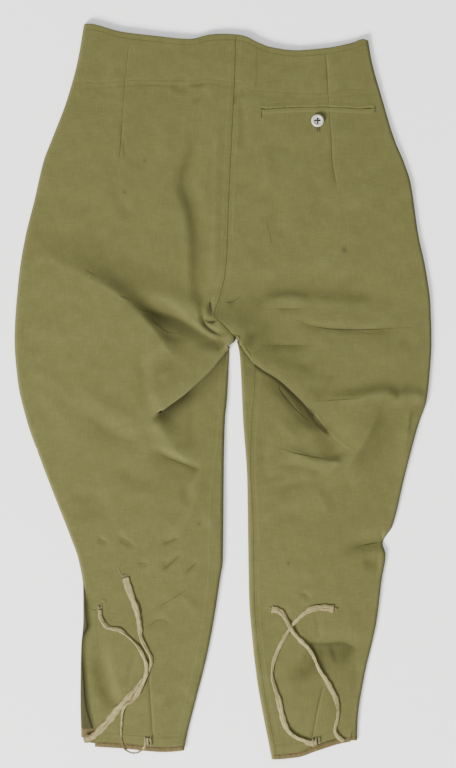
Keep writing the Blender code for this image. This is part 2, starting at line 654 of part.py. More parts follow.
def build_pocket(back, finish):
    """Cut the slit of the hip pocket and lay the backing that shows in it."""
    line = smooth_path(SLIT_LINE, 3)
    half = SLIT_WIDE / 2
    outline = [(x, d - half) for x, d in line] + [(x, d + half) for x, d in line[::-1]]
    deep = 12.0
    points = [(x, d, -deep) for x, d in outline] + [(x, d, 2 * deep) for x, d in outline]
    count = len(outline)
    faces = [tuple(range(count)), tuple(range(2 * count - 1, count - 1, -1))]
    faces += [(i, i + count, (i + 1) % count + count, (i + 1) % count) for i in range(count)]
    cutter = add_object("slit_cutter", world(points), faces, finish)
    cutter.hide_render = True
    cutter.display_type = "WIRE"
    cut = back.modifiers.new("slit", "BOOLEAN")
    cut.operation = "DIFFERENCE"
    cut.solver = "EXACT"
    cut.object = cutter

    first, last = SLIT_LINE[0][0] - BACKING_MARGIN, SLIT_LINE[-1][0] + BACKING_MARGIN
    across = np.linspace(first, last, 13)
    middle = np.interp(across, line[:, 0], line[:, 1])
    rows = []
    for level in BACKING_LEVELS:
        down = middle + level
        height = RIGHT.height(across, down, False) - CLOTH - TAPE_CLEAR
        rows.append(np.stack([across, down, height], axis=1))
    add_sheet("pocket_backing", rows, finish, BACKING_WALL)


HOLE_RADIUS, HOLE_PLACE = 0.85, 1.75
DISH_RADIUS, DISH_DEEP = 4.6, 0.7


def cylinder(name, middle, low, high, radius, sides, finish):
    """A closed upright cylinder, with its middle given as (across, down)."""
    turn = [2 * math.pi * k / sides for k in range(sides)]
    ring = [(middle[0] + radius * math.cos(t), middle[1] - radius * math.sin(t)) for t in turn]
    points = [(x, d, low) for x, d in ring] + [(x, d, high) for x, d in ring]
    faces = [tuple(range(sides - 1, -1, -1)), tuple(range(sides, 2 * sides))]
    faces += [(i, (i + 1) % sides, (i + 1) % sides + sides, i + sides) for i in range(sides)]
    return add_object(name, world(points), faces, finish)


def build_button(finish):
    """The pocket button with its dished middle and four holes."""
    middle = (BUTTON_ACROSS, BUTTON_DOWN)
    ring = [(middle[0] + BUTTON_RADIUS * math.cos(t), middle[1] + BUTTON_RADIUS * math.sin(t))
            for t in np.linspace(0, 2 * math.pi, 12)]
    low = max(float(RIGHT.height(x, d, False)) for x, d in ring) + TAPE_CLEAR
    high = low + BUTTON_THICK
    button = cylinder("pocket_button", middle, low, high, BUTTON_RADIUS, 32, finish)
    bevel = button.modifiers.new("rim", "BEVEL")
    bevel.width = 0.8 * MM
    bevel.segments = 1
    bevel.limit_method = "ANGLE"
    cutters = [cylinder("dish_cutter", middle, high - DISH_DEEP, high + 3, DISH_RADIUS, 20, finish)]
    for k in range(4):
        place = (middle[0] + HOLE_PLACE * (1 if k % 2 else -1), middle[1] + HOLE_PLACE * (1 if k > 1 else -1))
        cutters.append(cylinder("hole_cutter_%d" % k, place, low - 2, high + 2, HOLE_RADIUS, 8, finish))
    for cutter in cutters:
        cutter.hide_render = True
        cutter.display_type = "WIRE"
        cut = button.modifiers.new(cutter.name, "BOOLEAN")
        cut.operation = "DIFFERENCE"
        cut.solver = "EXACT"
        cut.object = cutter


TAPE_LANES = (-1.0, -0.5, 0.0, 0.5, 1.0)
TAPE_FINE = 6


def ground_tree(thing):
    """A finished piece as a tree that rays can meet."""
    return BVHTree.FromObject(thing, bpy.context.evaluated_depsgraph_get())


def ground_height(trees, across, down, start=40.0):
    """Top of whatever lies under a point, in millimetres, or zero past the edge."""
    from_above = Vector(world((across, down, start)))
    best = 0.0
    for tree in trees:
        hit = tree.ray_cast(from_above, Vector((0, 0, -1)))[0]
        if hit is not None:
            best = max(best, hit.z / MM)
    return best


def build_tape(name, route, finish, trees):
    """One calf tape, a flat band lying loose on what is under it."""
    path = smooth_path(route, 1)
    fine = smooth_path(route, TAPE_FINE)
    tangent = np.gradient(fine, axis=0)
    tangent /= np.hypot(tangent[:, 0], tangent[:, 1])[:, None]
    side = np.stack([tangent[:, 1], -tangent[:, 0]], axis=1) * TAPE_WIDE / 2
    tops = [max(ground_height(trees, *(point + lane * s)) for lane in TAPE_LANES)
            for point, s in zip(fine, side)]
    rows = []
    for k, point in enumerate(path):
        near = tops[max(0, (k - 1) * TAPE_FINE):(k + 1) * TAPE_FINE + 1]
        level = max(near) + TAPE_CLEAR
        half = side[k * TAPE_FINE]
        rows.append([(*(point - half), level), (*(point + half), level)])
    return add_sheet(name, rows, finish, TAPE_WALL, upwards=True)


def build():
    """Every piece of the breeches."""
    clear_scene()
    cloth = material("khaki_cotton", (0.235, 0.212, 0.078), 0.9)
    binding = material("brown_binding", (0.25, 0.18, 0.065), 0.85)
    linen = material("cream_tape", (0.60, 0.52, 0.34), 0.9)
    pearl = material("pearl_button", (0.85, 0.84, 0.80), 0.3)

    left_back, left_grid = build_back(LEFT, "back_left", LEFT_VENT_EDGE, cloth)
    right_back, right_grid = build_back(RIGHT, "back_right", RIGHT_VENT_EDGE, cloth)
    build_front(LEFT, "front_left", "hem_binding_front_left", cloth, binding)
    build_front(RIGHT, "front_right", "hem_binding_front_right", cloth, binding)
    left_turn = build_turn(LEFT, "front_left_turn", left_grid, cloth)
    right_turn = build_turn(RIGHT, "front_right_turn", right_grid, cloth)
    left_hem = build_back_binding(LEFT, "hem_binding_back_left", left_grid, left_turn, binding)
    right_hem = build_back_binding(RIGHT, "hem_binding_back_right", right_grid, right_turn, binding)
    left_under = build_underlap(LEFT, "vent_underlap_left", "underlap_binding_left", LEFT_VENT_EDGE,
                                LEFT_UNDERLAP_ROWS, LEFT_UNDERLAP_HEM, cloth, binding)
    right_under = build_underlap(RIGHT, "vent_underlap_right", "underlap_binding_right", RIGHT_VENT_EDGE,
                                 RIGHT_UNDERLAP_ROWS, RIGHT_UNDERLAP_HEM, cloth, binding)
    build_pocket(right_back, cloth)
    build_button(pearl)
    ground = [ground_tree(thing) for thing in (left_back, left_hem, *left_under)]
    lower = build_tape("tape_left_vent", TAPE_LEFT_VENT, linen, ground)
    build_tape("tape_left_seam", TAPE_LEFT_SEAM, linen, ground + [ground_tree(lower)])
    ground = [ground_tree(thing) for thing in (right_back, right_hem, *right_under)]
    lower = build_tape("tape_right_seam", TAPE_RIGHT_SEAM, linen, ground)
    build_tape("tape_right_vent", TAPE_RIGHT_VENT, linen, ground + [ground_tree(lower)])


build()
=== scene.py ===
# %% [markdown]
# # Military breeches, laid flat with the back up
# Riding breeches are cut wide at the thigh and narrow at the calf. These lie empty on a pale surface,
# so the cloth keeps soft hollows where the body was, and it laps over itself where the seat meets the
# legs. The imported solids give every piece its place. This script lays finer cloth over them, sews it,
# and lights it the way a plain studio does.

# %% Load the fixed frame
import math
from collections import namedtuple

import bmesh
import bpy
import numpy as np
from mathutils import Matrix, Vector

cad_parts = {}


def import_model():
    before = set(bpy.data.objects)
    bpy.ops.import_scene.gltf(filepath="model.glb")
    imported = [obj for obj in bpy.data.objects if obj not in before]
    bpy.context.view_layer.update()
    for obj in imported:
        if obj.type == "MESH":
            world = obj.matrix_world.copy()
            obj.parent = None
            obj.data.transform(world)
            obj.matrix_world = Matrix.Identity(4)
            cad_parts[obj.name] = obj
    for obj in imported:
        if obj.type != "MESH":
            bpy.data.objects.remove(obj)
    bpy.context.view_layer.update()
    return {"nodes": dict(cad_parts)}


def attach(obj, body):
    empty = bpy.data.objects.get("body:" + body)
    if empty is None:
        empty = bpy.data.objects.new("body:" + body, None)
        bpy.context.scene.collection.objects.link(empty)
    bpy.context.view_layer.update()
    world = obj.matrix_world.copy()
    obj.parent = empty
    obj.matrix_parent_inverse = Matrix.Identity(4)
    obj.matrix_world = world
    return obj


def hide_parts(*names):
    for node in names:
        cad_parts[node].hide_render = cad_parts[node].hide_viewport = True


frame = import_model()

print("frame:", len(frame["nodes"]), "nodes")

# %% [markdown]
# ## One set of sizes
# Cloth is easier to measure than to sculpt. All tables are in millimetres: "across" from the middle of
# the breeches, plus to the right, and "down" from the waist corner towards the hems. One function turns
# that into the world's metres, with the waist away at +Y and Z up.

# %% Units and the way to the world
MM = 0.001
MIDDLE_ACROSS, MIDDLE_DOWN = 0.6, 470.6


def world(points):
    """Garment millimetres to world metres."""
    points = np.asarray(points, dtype=float)
    return np.stack([(points[..., 0] - MIDDLE_ACROSS) * MM, (MIDDLE_DOWN - points[..., 1]) * MM,
                     points[..., 2] * MM], axis=-1)


def points_at(across, down, height):
    """Points in garment millimetres, from where they lie and how high."""
    return np.stack(np.broadcast_arrays(across, down, height), axis=-1)


# %% [markdown]
# ## The camera
# A garment catalogue looks straight down from a height where nothing leans. The long lens keeps the
# waist and the hems at one scale.

# %% Camera straight above
VIEW_MIDDLE = (7.0, 460.8)
VIEW_LONG = 0.983
LENS, SENSOR = 85.0, 36.0
CLOTH_LEVEL = 0.006

eye_data = bpy.data.cameras.new("catalogue_eye")
eye_data.lens, eye_data.sensor_width = LENS, SENSOR
eye = bpy.data.objects.new("catalogue_eye", eye_data)
bpy.context.scene.collection.objects.link(eye)
middle = world((*VIEW_MIDDLE, 0.0))
eye.location = (middle[0], middle[1], VIEW_LONG * LENS / SENSOR + CLOTH_LEVEL)
bpy.context.scene.camera = eye
print("camera height %.2f m" % eye.location.z)

# %% [markdown]
# ## Outlines and folds
# Each outline is a short table of places that a soft curve joins. A fold is a line on the cloth with a
# height on either hand: walk along it, and "right" is the height on your right. Two unequal heights
# give a step, two equal ones a ridge or a trough. Real creases fade, so each names how soon it starts
# and ends.

# %% Outlines
# Thickness of a flat front, the gap between panel and binding, and half the gap that a seam leaves
CLOTH, GAP, SEAM_HALF_GAP = 1.2, 0.3, 0.02
# How high a turned edge ends, how far in it starts to turn, how high the empty leg lies, and its least
EDGE_LIFT, ROLL, LYING, LEAST = 0.5, 4.2, 5.0, 2.8
# A lap that drops less than the first height is a plain step, and past the second it folds right over
FOLD_LAP_LOW, FOLD_LAP_FULL = 6.0, 8.0
BINDING_DEEP = 6.0
# Outlines, each row (down, across)
LEFT_SIDE = (
    (0, -178), (46, -186), (97, -200), (148, -219.5), (174, -229.5), (225, -241.5), (276, -254),
    (328, -262), (404, -267), (456, -263), (507, -251.5), (558, -233.5), (609, -214), (660, -194),
    (686, -185), (722, -179), (763, -178.8), (800, -181.5), (860, -182.5), (925, -181),
)
RIGHT_SIDE = (
    (14, 186), (46, 191.5), (97, 205.5), (148, 221), (174, 232), (201, 241), (270, 251.5),
    (312, 260.5), (361, 267), (407, 268.2), (451, 265.5), (481, 262), (512, 251.5), (580, 233.5),
    (644, 217.5), (665, 205.5), (679, 209.3), (712, 204.2), (763, 198), (840, 181), (891, 173.5),
    (920, 172.5),
)
LEFT_CROTCH = (
    (404, 17.2), (407, 14.6), (411, 11), (415, 8.8), (430, 8.3), (481, 5.8), (507, 3.2), (558, 1.9),
    (686, 0.6), (712, -3.2), (763, -11), (814, -21), (865, -34), (916, -46.5), (932, -49),
)
RIGHT_CROTCH = (
    (404, 17.4), (411, 19.4), (418, 21), (430, 22.4), (507, 26.2), (584, 31.5), (660, 32.6), (737, 34),
    (788, 38), (840, 44), (891, 53), (916, 58), (942, 63),
)
SEAT_SEAM = (
    (0, 17.6), (72, 15.4), (136, 12.2), (200, 9.1), (238, 7.4), (288, 6), (321, 3.2), (338, -0.6),
    (355, -5), (366, -9.6), (374, -10), (381, -3.2), (389, 5.2), (397, 12), (404, 17.2),
)
LEFT_INSEAM = (
    (412, 8.4), (421, 4.1), (456, 3), (520, 0.2), (587, -8.3), (608, -10), (700, -12), (788, -23),
    (865, -41), (932, -56),
)
RIGHT_INSEAM = (
    (404, 17.2), (414, 22.6), (420, 28), (430, 34), (436, 41.6), (460, 41), (502, 37.5), (563, 35.6),
    (640, 39), (740, 40.5), (840, 51), (891, 60), (942, 70),
)
LEFT_VENT_EDGE = (
    (716, -179.2), (726, -175.6), (758, -174), (771, -172), (785, -178.5), (804, -179.5), (830, -177.7),
    (873, -173.8), (916, -163.5), (932, -163.5),
)
RIGHT_VENT_EDGE = (
    (885, 174), (895, 173.3), (902, 168), (908, 165), (920, 164), (932, 164),
)

# Edges that run across, each row (across, down)
WAIST_EDGE = (
    (-178, 0), (-170, -0.8), (-159, 1.3), (-142, 6.4), (-127, 10), (-91, 14.3), (-42, 18.8), (-15, 13),
    (0, 12.3), (18, 13), (30, 15.5), (42, 21.5), (61, 29), (93, 33.3), (130, 30.7), (166, 23.7),
    (180, 19), (187, 20.8),
)
LEFT_HEM = ((-182, 922), (-164, 925.4), (-131, 927.5), (-74, 932.4), (-57, 931.4), (-47, 930))
RIGHT_HEM = ((60, 940.5), (64, 941.9), (95, 939.3), (122, 930.6), (151, 921.6), (164, 919), (173, 917.5))

# The two folds at the fork, where the seat laps over the thigh: (across, down) along the lap
LEFT_LAP = (
    (8.4, 415.5), (4.1, 421), (-13.4, 442.2), (-27.5, 455.7), (-48, 474), (-65, 486.5), (-88, 502.5),
    (-125, 521), (-165, 534), (-205, 544), (-253, 553),
)
RIGHT_LAP = (
    (17.5, 404), (22, 413), (28, 420), (34, 430), (41.6, 435.8), (51, 443), (68.5, 453), (85, 467),
    (105, 487), (122, 509.5), (137, 526), (165, 548), (205, 564), (238, 572),
)


def table(kind, *rows):
    """Rows whose places all have the names of one kind."""
    return [kind(*row) for row in rows]


# %% Large folds, the same as in the solids
# Each large fold: right and left are the heights on either hand of someone who walks its path in
# the picture, reach is how far each side carries, edge is how soft the change between them is
Fold = namedtuple("Fold", "name path right right_reach left left_reach edge fade")
LEFT_FOLDS = table(
    Fold,
    ("calf trough", ((-160, 770), (-152, 831), (-141, 880)), -1, 9, -1, 9, 5, (0.3, 0.3)),
)
RIGHT_FOLDS = table(
    Fold,
    ("lap pocket", ((50, 444), (80, 474), (104, 505), (124, 530)), -1, 8, -1, 24, 6, (0.2, 0.3)),
)

# A crest is where two flat faces of cloth meet: height along the line, how far each face carries to
# the right and the left of someone who walks the path, and how round the meeting is. A negative height
# is a valley. Where no fade is given, it takes four tenths of the length at each end.
Crest = namedtuple("Crest", "name path rise right left round fade", defaults=((0.4, 0.4),))
LEFT_CRESTS = table(
    Crest,
    ("hip crest", ((-240, 264), (-214, 302), (-181, 317), (-132, 348), (-103, 372), (-80, 400),
                   (-57, 432)), 4, 120, 40, 3, (0.3, 0.12)),
    ("hip edge", ((-200, 306), (-170, 322), (-144, 338), (-125, 352), (-103, 372), (-80, 401), (-57, 433)),
     2.8, 60, 13, 0.5, (0.5, 0.15)),
    ("hip valley", ((-140, 345), (-112, 358), (-98, 364), (-80, 371), (-54, 379), (-29, 395), (6, 414)),
     -3.2, 13, 20, 1.6, (0.35, 0.06)),
    ("fork roll", ((-112, 334), (-93, 343), (-67, 353), (-48, 368), (-29, 385), (0, 404)), 2.6, 12, 26,
     1.6, (0.6, 0.1)),
    ("seat drop", ((-66, 205), (-50, 241), (-44, 276), (-45, 315), (-44, 350)), 2, 60, 12, 2,
     (0.3, 0.3)),
    ("seat trough", ((-30, 100), (-36, 150), (-50, 200), (-42, 232), (-35, 268), (-34, 305), (-31, 340),
                     (-25, 374)), -2.6, 11, 20, 1.8, (0.34, 0.12)),
    ("seam welt", ((-6, 110), (-9, 200), (-10, 290), (-17, 345)), 0.5, 6, 7, 1, (0.2, 0.2)),
    ("fork tuck one", ((-16, 353), (-17, 365), (-12, 375)), -1.3, 3.6, 3.6, 0.6, (0.3, 0.3)),
    ("fork tuck two", ((-24, 341), (-26.5, 354), (-27, 368), (-26, 380), (-20, 389), (-8, 396), (4, 399)),
     -1.7, 4, 4.5, 0.7, (0.5, 0.2)),
    ("fork tuck three", ((-25, 378), (-15, 381.5), (-6, 380)), -1.1, 3.6, 3.6, 0.6, (0.3, 0.3)),
    ("knee crest", ((-86, 503), (-66, 538), (-46, 561), (-30, 571)), 1.9, 16, 26, 1.2, (0.15, 0.3)),
    ("knee valley", ((-100, 543), (-80, 549), (-64, 557), (-46, 564), (-28, 572)), -2, 24, 7, 0.8,
     (0.4, 0.12)),
    ("band valley", ((-104, 398), (-104, 430), (-100, 468), (-90, 498)), -1.3, 14, 12, 1.5, (0.35, 0.3)),
    ("thigh trough", ((-184, 497), (-150, 520), (-123, 533), (-95, 533)), -1.2, 18, 14, 2),
    ("thigh line", ((-193, 462), (-150, 491), (-118, 507), (-96, 518)), 0.9, 20, 11, 1.2, (0.3, 0.3)),
    ("knee hollow", ((-178, 588), (-170, 610), (-160, 640)), -1.3, 18, 20, 6),
    ("knee wave", ((-92, 641), (-76, 635), (-60, 645), (-44, 630), (-30, 590), (-12, 568)), 0.8, 9, 9, 1.6,
     (0.3, 0.3)),
    ("calf trough", ((-160, 800), (-150, 846), (-134, 882)), -2.2, 12, 12, 3, (0.25, 0.25)),
    ("calf slope", ((-45, 845), (-75, 876)), -0.8, 12, 14, 4),
)
RIGHT_CRESTS = table(
    Crest,
    ("seat trough", ((40, 370), (62, 350), (86, 342), (115, 342), (150, 344), (196, 348), (242, 352)),
     -2.1, 11, 36, 2.4, (0.25, 0.4)),
    ("scalloped edge", ((50, 369), (61, 354), (86, 349), (105, 353), (115, 361)), 1.2, 25, 5, 1,
     (0.3, 0.3)),
    ("long line", ((88, 377), (112, 387), (147, 391), (188, 393), (221, 389), (246, 388)), -1.3, 14, 6,
     1, (0.3, 0.3)),
    ("short line", ((67, 365), (90, 366), (112, 365)), -0.7, 6, 4, 0.6, (0.3, 0.4)),
    ("seat crease", ((48, 412), (86, 412), (118, 413)), -0.8, 9, 4, 0.6),
    ("thigh step", ((121, 481), (170, 480), (197, 474), (211, 472), (224, 480), (234, 475), (247, 475),
                    (260, 484)), 2.4, 60, 9, 0.9, (0.35, 0.08)),
    ("thigh valley", ((137, 473), (182, 466), (227, 466), (255, 472)), -0.9, 9, 26, 2.4, (0.5, 0.2)),
    ("thigh ridge", ((205, 484), (194, 507), (182, 532), (170, 555), (154, 573), (136, 590), (118, 604)),
     3.6, 36, 32, 0.7, (0.35, 0.5)),
    ("knee line", ((74, 547), (96, 552), (118, 560), (144, 561), (154, 569)), 1.7, 16, 7, 0.8, (0.3, 0.15)),
    ("knee hollow", ((118, 516), (136, 532), (148, 548), (154, 560)), -2.4, 17, 22, 4.5, (0.3, 0.2)),
    ("knee fall", ((155, 572), (162, 590), (166, 609)), -0.4, 8, 8, 1.2, (0.1, 0.5)),
    ("knee ray one", ((61, 568), (91, 566), (142, 577)), -0.7, 8, 6, 0.9, (0.4, 0.3)),
    ("knee ray two", ((48, 584), (91, 576)), -0.7, 8, 6, 0.9),
    ("side dent", ((207, 662), (189, 664), (168, 668), (146, 674)), -2.6, 15, 11, 1.8, (0.02, 0.6)),
    ("dent shade", ((203, 690), (176, 688)), -1, 12, 12, 3, (0.2, 0.5)),
    ("calf crease", ((102, 792), (131, 793), (154, 791), (166, 796), (176, 806)), -1.7, 30, 16, 1,
     (0.22, 0.3)),
    ("calf hollow", ((140, 808), (110, 824), (84, 846)), -1.6, 16, 14, 4, (0.2, 0.5)),
    ("calf edge", ((45, 827), (50, 868)), -0.8, 9, 9, 2),
    ("fork line", ((4, 357), (19, 355)), -0.7, 5, 5, 0.7),
    ("fork curve", ((42, 388), (36, 404), (42, 417)), -0.7, 6, 9, 1.5),
)

# Broad swells of the cloth: middle, height, and how far it reaches across and down
Swell = namedtuple("Swell", "across down rise wide deep")
LEFT_SWELLS = table(
    Swell,
    (-150, 420, 3, 80, 110), (-105, 180, 1, 70, 90), (-75, 640, 2.2, 70, 90),
    (-110, 830, 1.5, 50, 80),
)
RIGHT_SWELLS = table(
    Swell,
    (150, 420, 3.2, 80, 90), (120, 250, 1.2, 80, 80), (110, 640, 2.4, 70, 90),
    (110, 730, 1.8, 50, 50), (115, 870, 1.2, 45, 60),
)
# Painted shade: the cloth is drawn darker where folds, laps and the vent's edge would shade it. Each row: a
# path, how far the darker tone carries to its right and left, how strong it is, and whether it is only under
# a lap
Shade = namedtuple("Shade", "path right left depth fade under", defaults=(False,))
LEFT_SHADES = table(
    Shade,
    (((-246, 262), (-222, 292), (-196, 310), (-166, 326)), 2.5, 30, 0.13, (0.3, 0.4)),
    (((-212, 296), (-181, 316), (-144, 338), (-125, 351), (-103, 371)), 2.5, 34, 0.26, (0.45, 0.1)),
    (((-110, 365), (-80, 401), (-57, 433)), 1.5, 17, 0.3, (0.2, 0.3)),
    (((-99, 366), (-80, 377), (-58, 392), (-40, 408)), 9, 8, 0.3, (0.2, 0.35)),
    (((-102, 365), (-80, 372), (-54, 380), (-29, 396), (0, 412)), 7, 3, 0.42, (0.25, 0.15)),
    (((-129, 145), (-127.5, 158), (-124.8, 173)), 2.2, 2.2, 0.4, (0.3, 0.3)),
    (((-46, 80), (-30, 78.5), (-20, 80)), 2, 2, 0.35, (0.3, 0.3)),
    (((-68, 72), (-52, 71), (-44, 72)), 2, 2, 0.3, (0.3, 0.3)),
    (((-66, 402), (-40, 410), (-10, 418)), 16, 12, 0.2, (0.3, 0.1)),
    (((-16, 353), (-17, 365), (-12, 375)), 2.4, 2.4, 0.4, (0.3, 0.3)),
    (((-27, 366), (-26, 380), (-20, 389), (-8, 396), (4, 399)), 2.6, 2.6, 0.45, (0.2, 0.2)),
    (((-25, 378), (-15, 381.5), (-6, 380)), 2.4, 2.4, 0.4, (0.3, 0.3)),
    (((-34, 120), (-39, 150), (-50, 192), (-43, 228), (-35, 262), (-31, 300), (-29, 345)), 6, 14, 0.2,
     (0.3, 0.15)),
    (((14, 414), (-27, 456), (-48, 474), (-65, 486), (-86, 501)), 3, 22, 0.5, (0.1, 0.02), True),
    (((-30, 459), (-50, 476), (-66, 487), (-84, 500)), 3, 16, 0.62, (0.45, 0.25), True),
    (((-98, 549), (-64, 559), (-46, 566), (-29, 573)), 9, 3, 0.3, (0.5, 0.05)),
    (((-178, 500), (-150, 522), (-123, 535), (-98, 535)), 12, 9, 0.1, (0.4, 0.4)),
    (((-178, 590), (-168, 612), (-158, 650)), 16, 16, 0.1, (0.4, 0.4)),
    (((-160, 800), (-150, 846), (-134, 884)), 9, 10, 0.14, (0.25, 0.25)),
    # Painted shadow along the back's edge at the calf vent
    (((-180, 724), (-175.6, 730), (-173, 758), (-172, 771), (-178, 785), (-179, 804), (-177, 830),
      (-173, 873), (-163, 918)), 3.5, 3.5, 0.9, (0.1, 0.02)),
)
RIGHT_SHADES = table(
    Shade,
    (((111, 494), (120, 505), (129, 515)), 1.5, 5.5, 0.24, (0.3, 0.35)),
    (((106, 488), (114, 499), (122, 509), (131, 520), (138, 528)), 3.6, 2.4, 0.75, (0.25, 0.25)),
    (((112, 808), (146, 808), (172, 822)), 22, 12, 0.26, (0.35, 0.3)),
    (((17, 404), (28, 420), (41, 436), (51, 443), (68, 453)), 5, 3, 0.5, (0.1, 0.3), True),
    (((46, 440), (51, 443), (68, 453), (85, 467), (105, 487), (118, 504), (132, 522)), 15, 5, 0.95,
     (0.3, 0.1), True),
    (((66, 462), (84, 484), (104, 508), (124, 524)), 6, 6, 0.35, (0.3, 0.2), True),
    (((22, 411), (28, 420), (34, 430), (41.6, 435.8), (51, 443), (68.5, 453), (85, 467), (105, 487),
      (122, 509), (132, 521), (141, 531)), 3, 2.6, 0.66, (0.05, 0.1)),
    (((118, 514), (134, 532), (146, 550)), 18, 14, 0.22, (0.3, 0.2)),
    (((46, 364), (66, 346), (90, 337), (130, 337), (200, 343)), 8, 18, 0.12, (0.2, 0.35)),
    (((92, 380), (112, 388), (147, 392), (188, 394), (221, 390)), 2.6, 2.6, 0.35, (0.3, 0.3)),
    (((140, 477), (182, 470), (205, 467), (225, 472), (250, 474)), 5, 13, 0.16, (0.5, 0.15)),
    (((204, 492), (190, 522), (172, 553), (155, 573)), 1.5, 30, 0.26, (0.2, 0.25)),
    (((108, 793), (131, 793.5), (154, 792.5), (176, 804)), 30, 1.2, 0.52, (0.12, 0.2)),
    (((124, 812), (104, 830), (84, 847)), 15, 15, 0.34, (0.2, 0.5)),
    (((206, 664), (180, 669), (152, 675)), 12, 9, 0.18, (0.02, 0.5)),
    (((200, 692), (172, 690)), 12, 12, 0.12, (0.2, 0.5)),
    (((48, 413), (86, 413), (118, 414)), 2.6, 2.6, 0.22, (0.4, 0.4)),
)

# Hard creases get painted shade, as thin dark lines. Each row: how thin the line is (zero is plain, and minus
# is bolder) and its path. The lines of one set lie well apart
LEFT_LINES = (
    ((-0.5, ((-15.4, 347), (-15.8, 360), (-14.5, 367), (-9, 374.5))),
     (0.6, ((-99, 368), (-80, 388), (-64, 396), (-52, 394))),
     (0.8, ((-178, 312), (-170, 318), (-160, 323))),
     (0.4, ((-134, 346), (-126, 350), (-116, 354))),
     (1, ((-78, 666), (-66, 662), (-54, 656))),
     (1, ((-49, 704), (-38, 694), (-29, 686))),
     (1.4, ((-111, 691), (-102, 690), (-92, 692))),
     (0.6, ((-84, 549), (-64, 558), (-46, 565), (-28, 573))),
     (1.4, ((-90, 750), (-66, 737), (-42, 721)))),
    ((-0.55, ((-26.6, 366), (-24.5, 382), (-16, 391.5), (-6.4, 397.5), (5, 402))),
     (0.8, ((-108, 365), (-99, 367), (-91, 370))),
     (1, ((-78, 699), (-64, 689), (-52, 677))),
     (1.4, ((-162, 658), (-154, 661), (-146, 666))),
     (1.2, ((-136, 655), (-122, 662), (-110, 673))),
     (1.6, ((-99, 773), (-80, 763), (-66, 770)))),
    ((-0.5, ((-25, 378.5), (-14, 382), (-4, 378.5))),),
)
RIGHT_LINES = (
    ((0.3, ((84, 375), (112, 386), (147, 391), (190, 391), (246, 388))),
     (1.2, ((48, 412), (86, 412), (120, 413))),
     (1, ((121, 482), (150, 481), (178, 479))),
     (1.4, ((54, 246), (60, 266), (64, 286))),
     (0.8, ((-3, 355), (8, 356.5), (17, 353), (26, 345))),
     (1.4, ((96, 727), (106, 731), (116, 738)))),
    ((1.2, ((50, 365), (80, 365), (112, 365))),
     (0, ((56, 447), (72, 461), (73, 468), (87, 486), (106, 505), (124, 516))),
     (0.2, ((206, 663), (190, 665.5), (172, 669)))),
    ((0.4, ((62, 539), (90, 548.5), (116, 554), (138, 558), (154, 560))),),
)
LINE_SETS = ("line_one", "line_two", "line_three")
# How much a hard crease thins towards its ends
LINE_END = 5

# How high the cloth over a lap rises, how deep the cloth under it drops, and how far each carries
LAP_RISE, LAP_REACH = 7.4, 34
LAP_DROP, LAP_DROP_REACH = 3, 22
# The share of the rise that runs on as a ridge where the lap ends, and for what share of its path
LAP_RIDGE, LAP_RUN_OUT = 0.6, 0.22
RIGHT_OVER_LEFT = 2.4

# The lap's profile: how far back from its edge, and the share of its height
LAP_PROFILE = (
    (5, 1), (1.4, 0.96), (0, 0.74), (1.2, 0.5), (4, 0.42), (6.6, 0.3), (6.8, 0.14), (4.5, 0.02),
    (-2, 0),
)

# %% [markdown]
# ## Smaller creases
# These were too small for the solids. They are drawn with the same kind of fold, only narrower, and a
# few more lie where the photo can't show them well, so that no part of the cloth is dead flat.

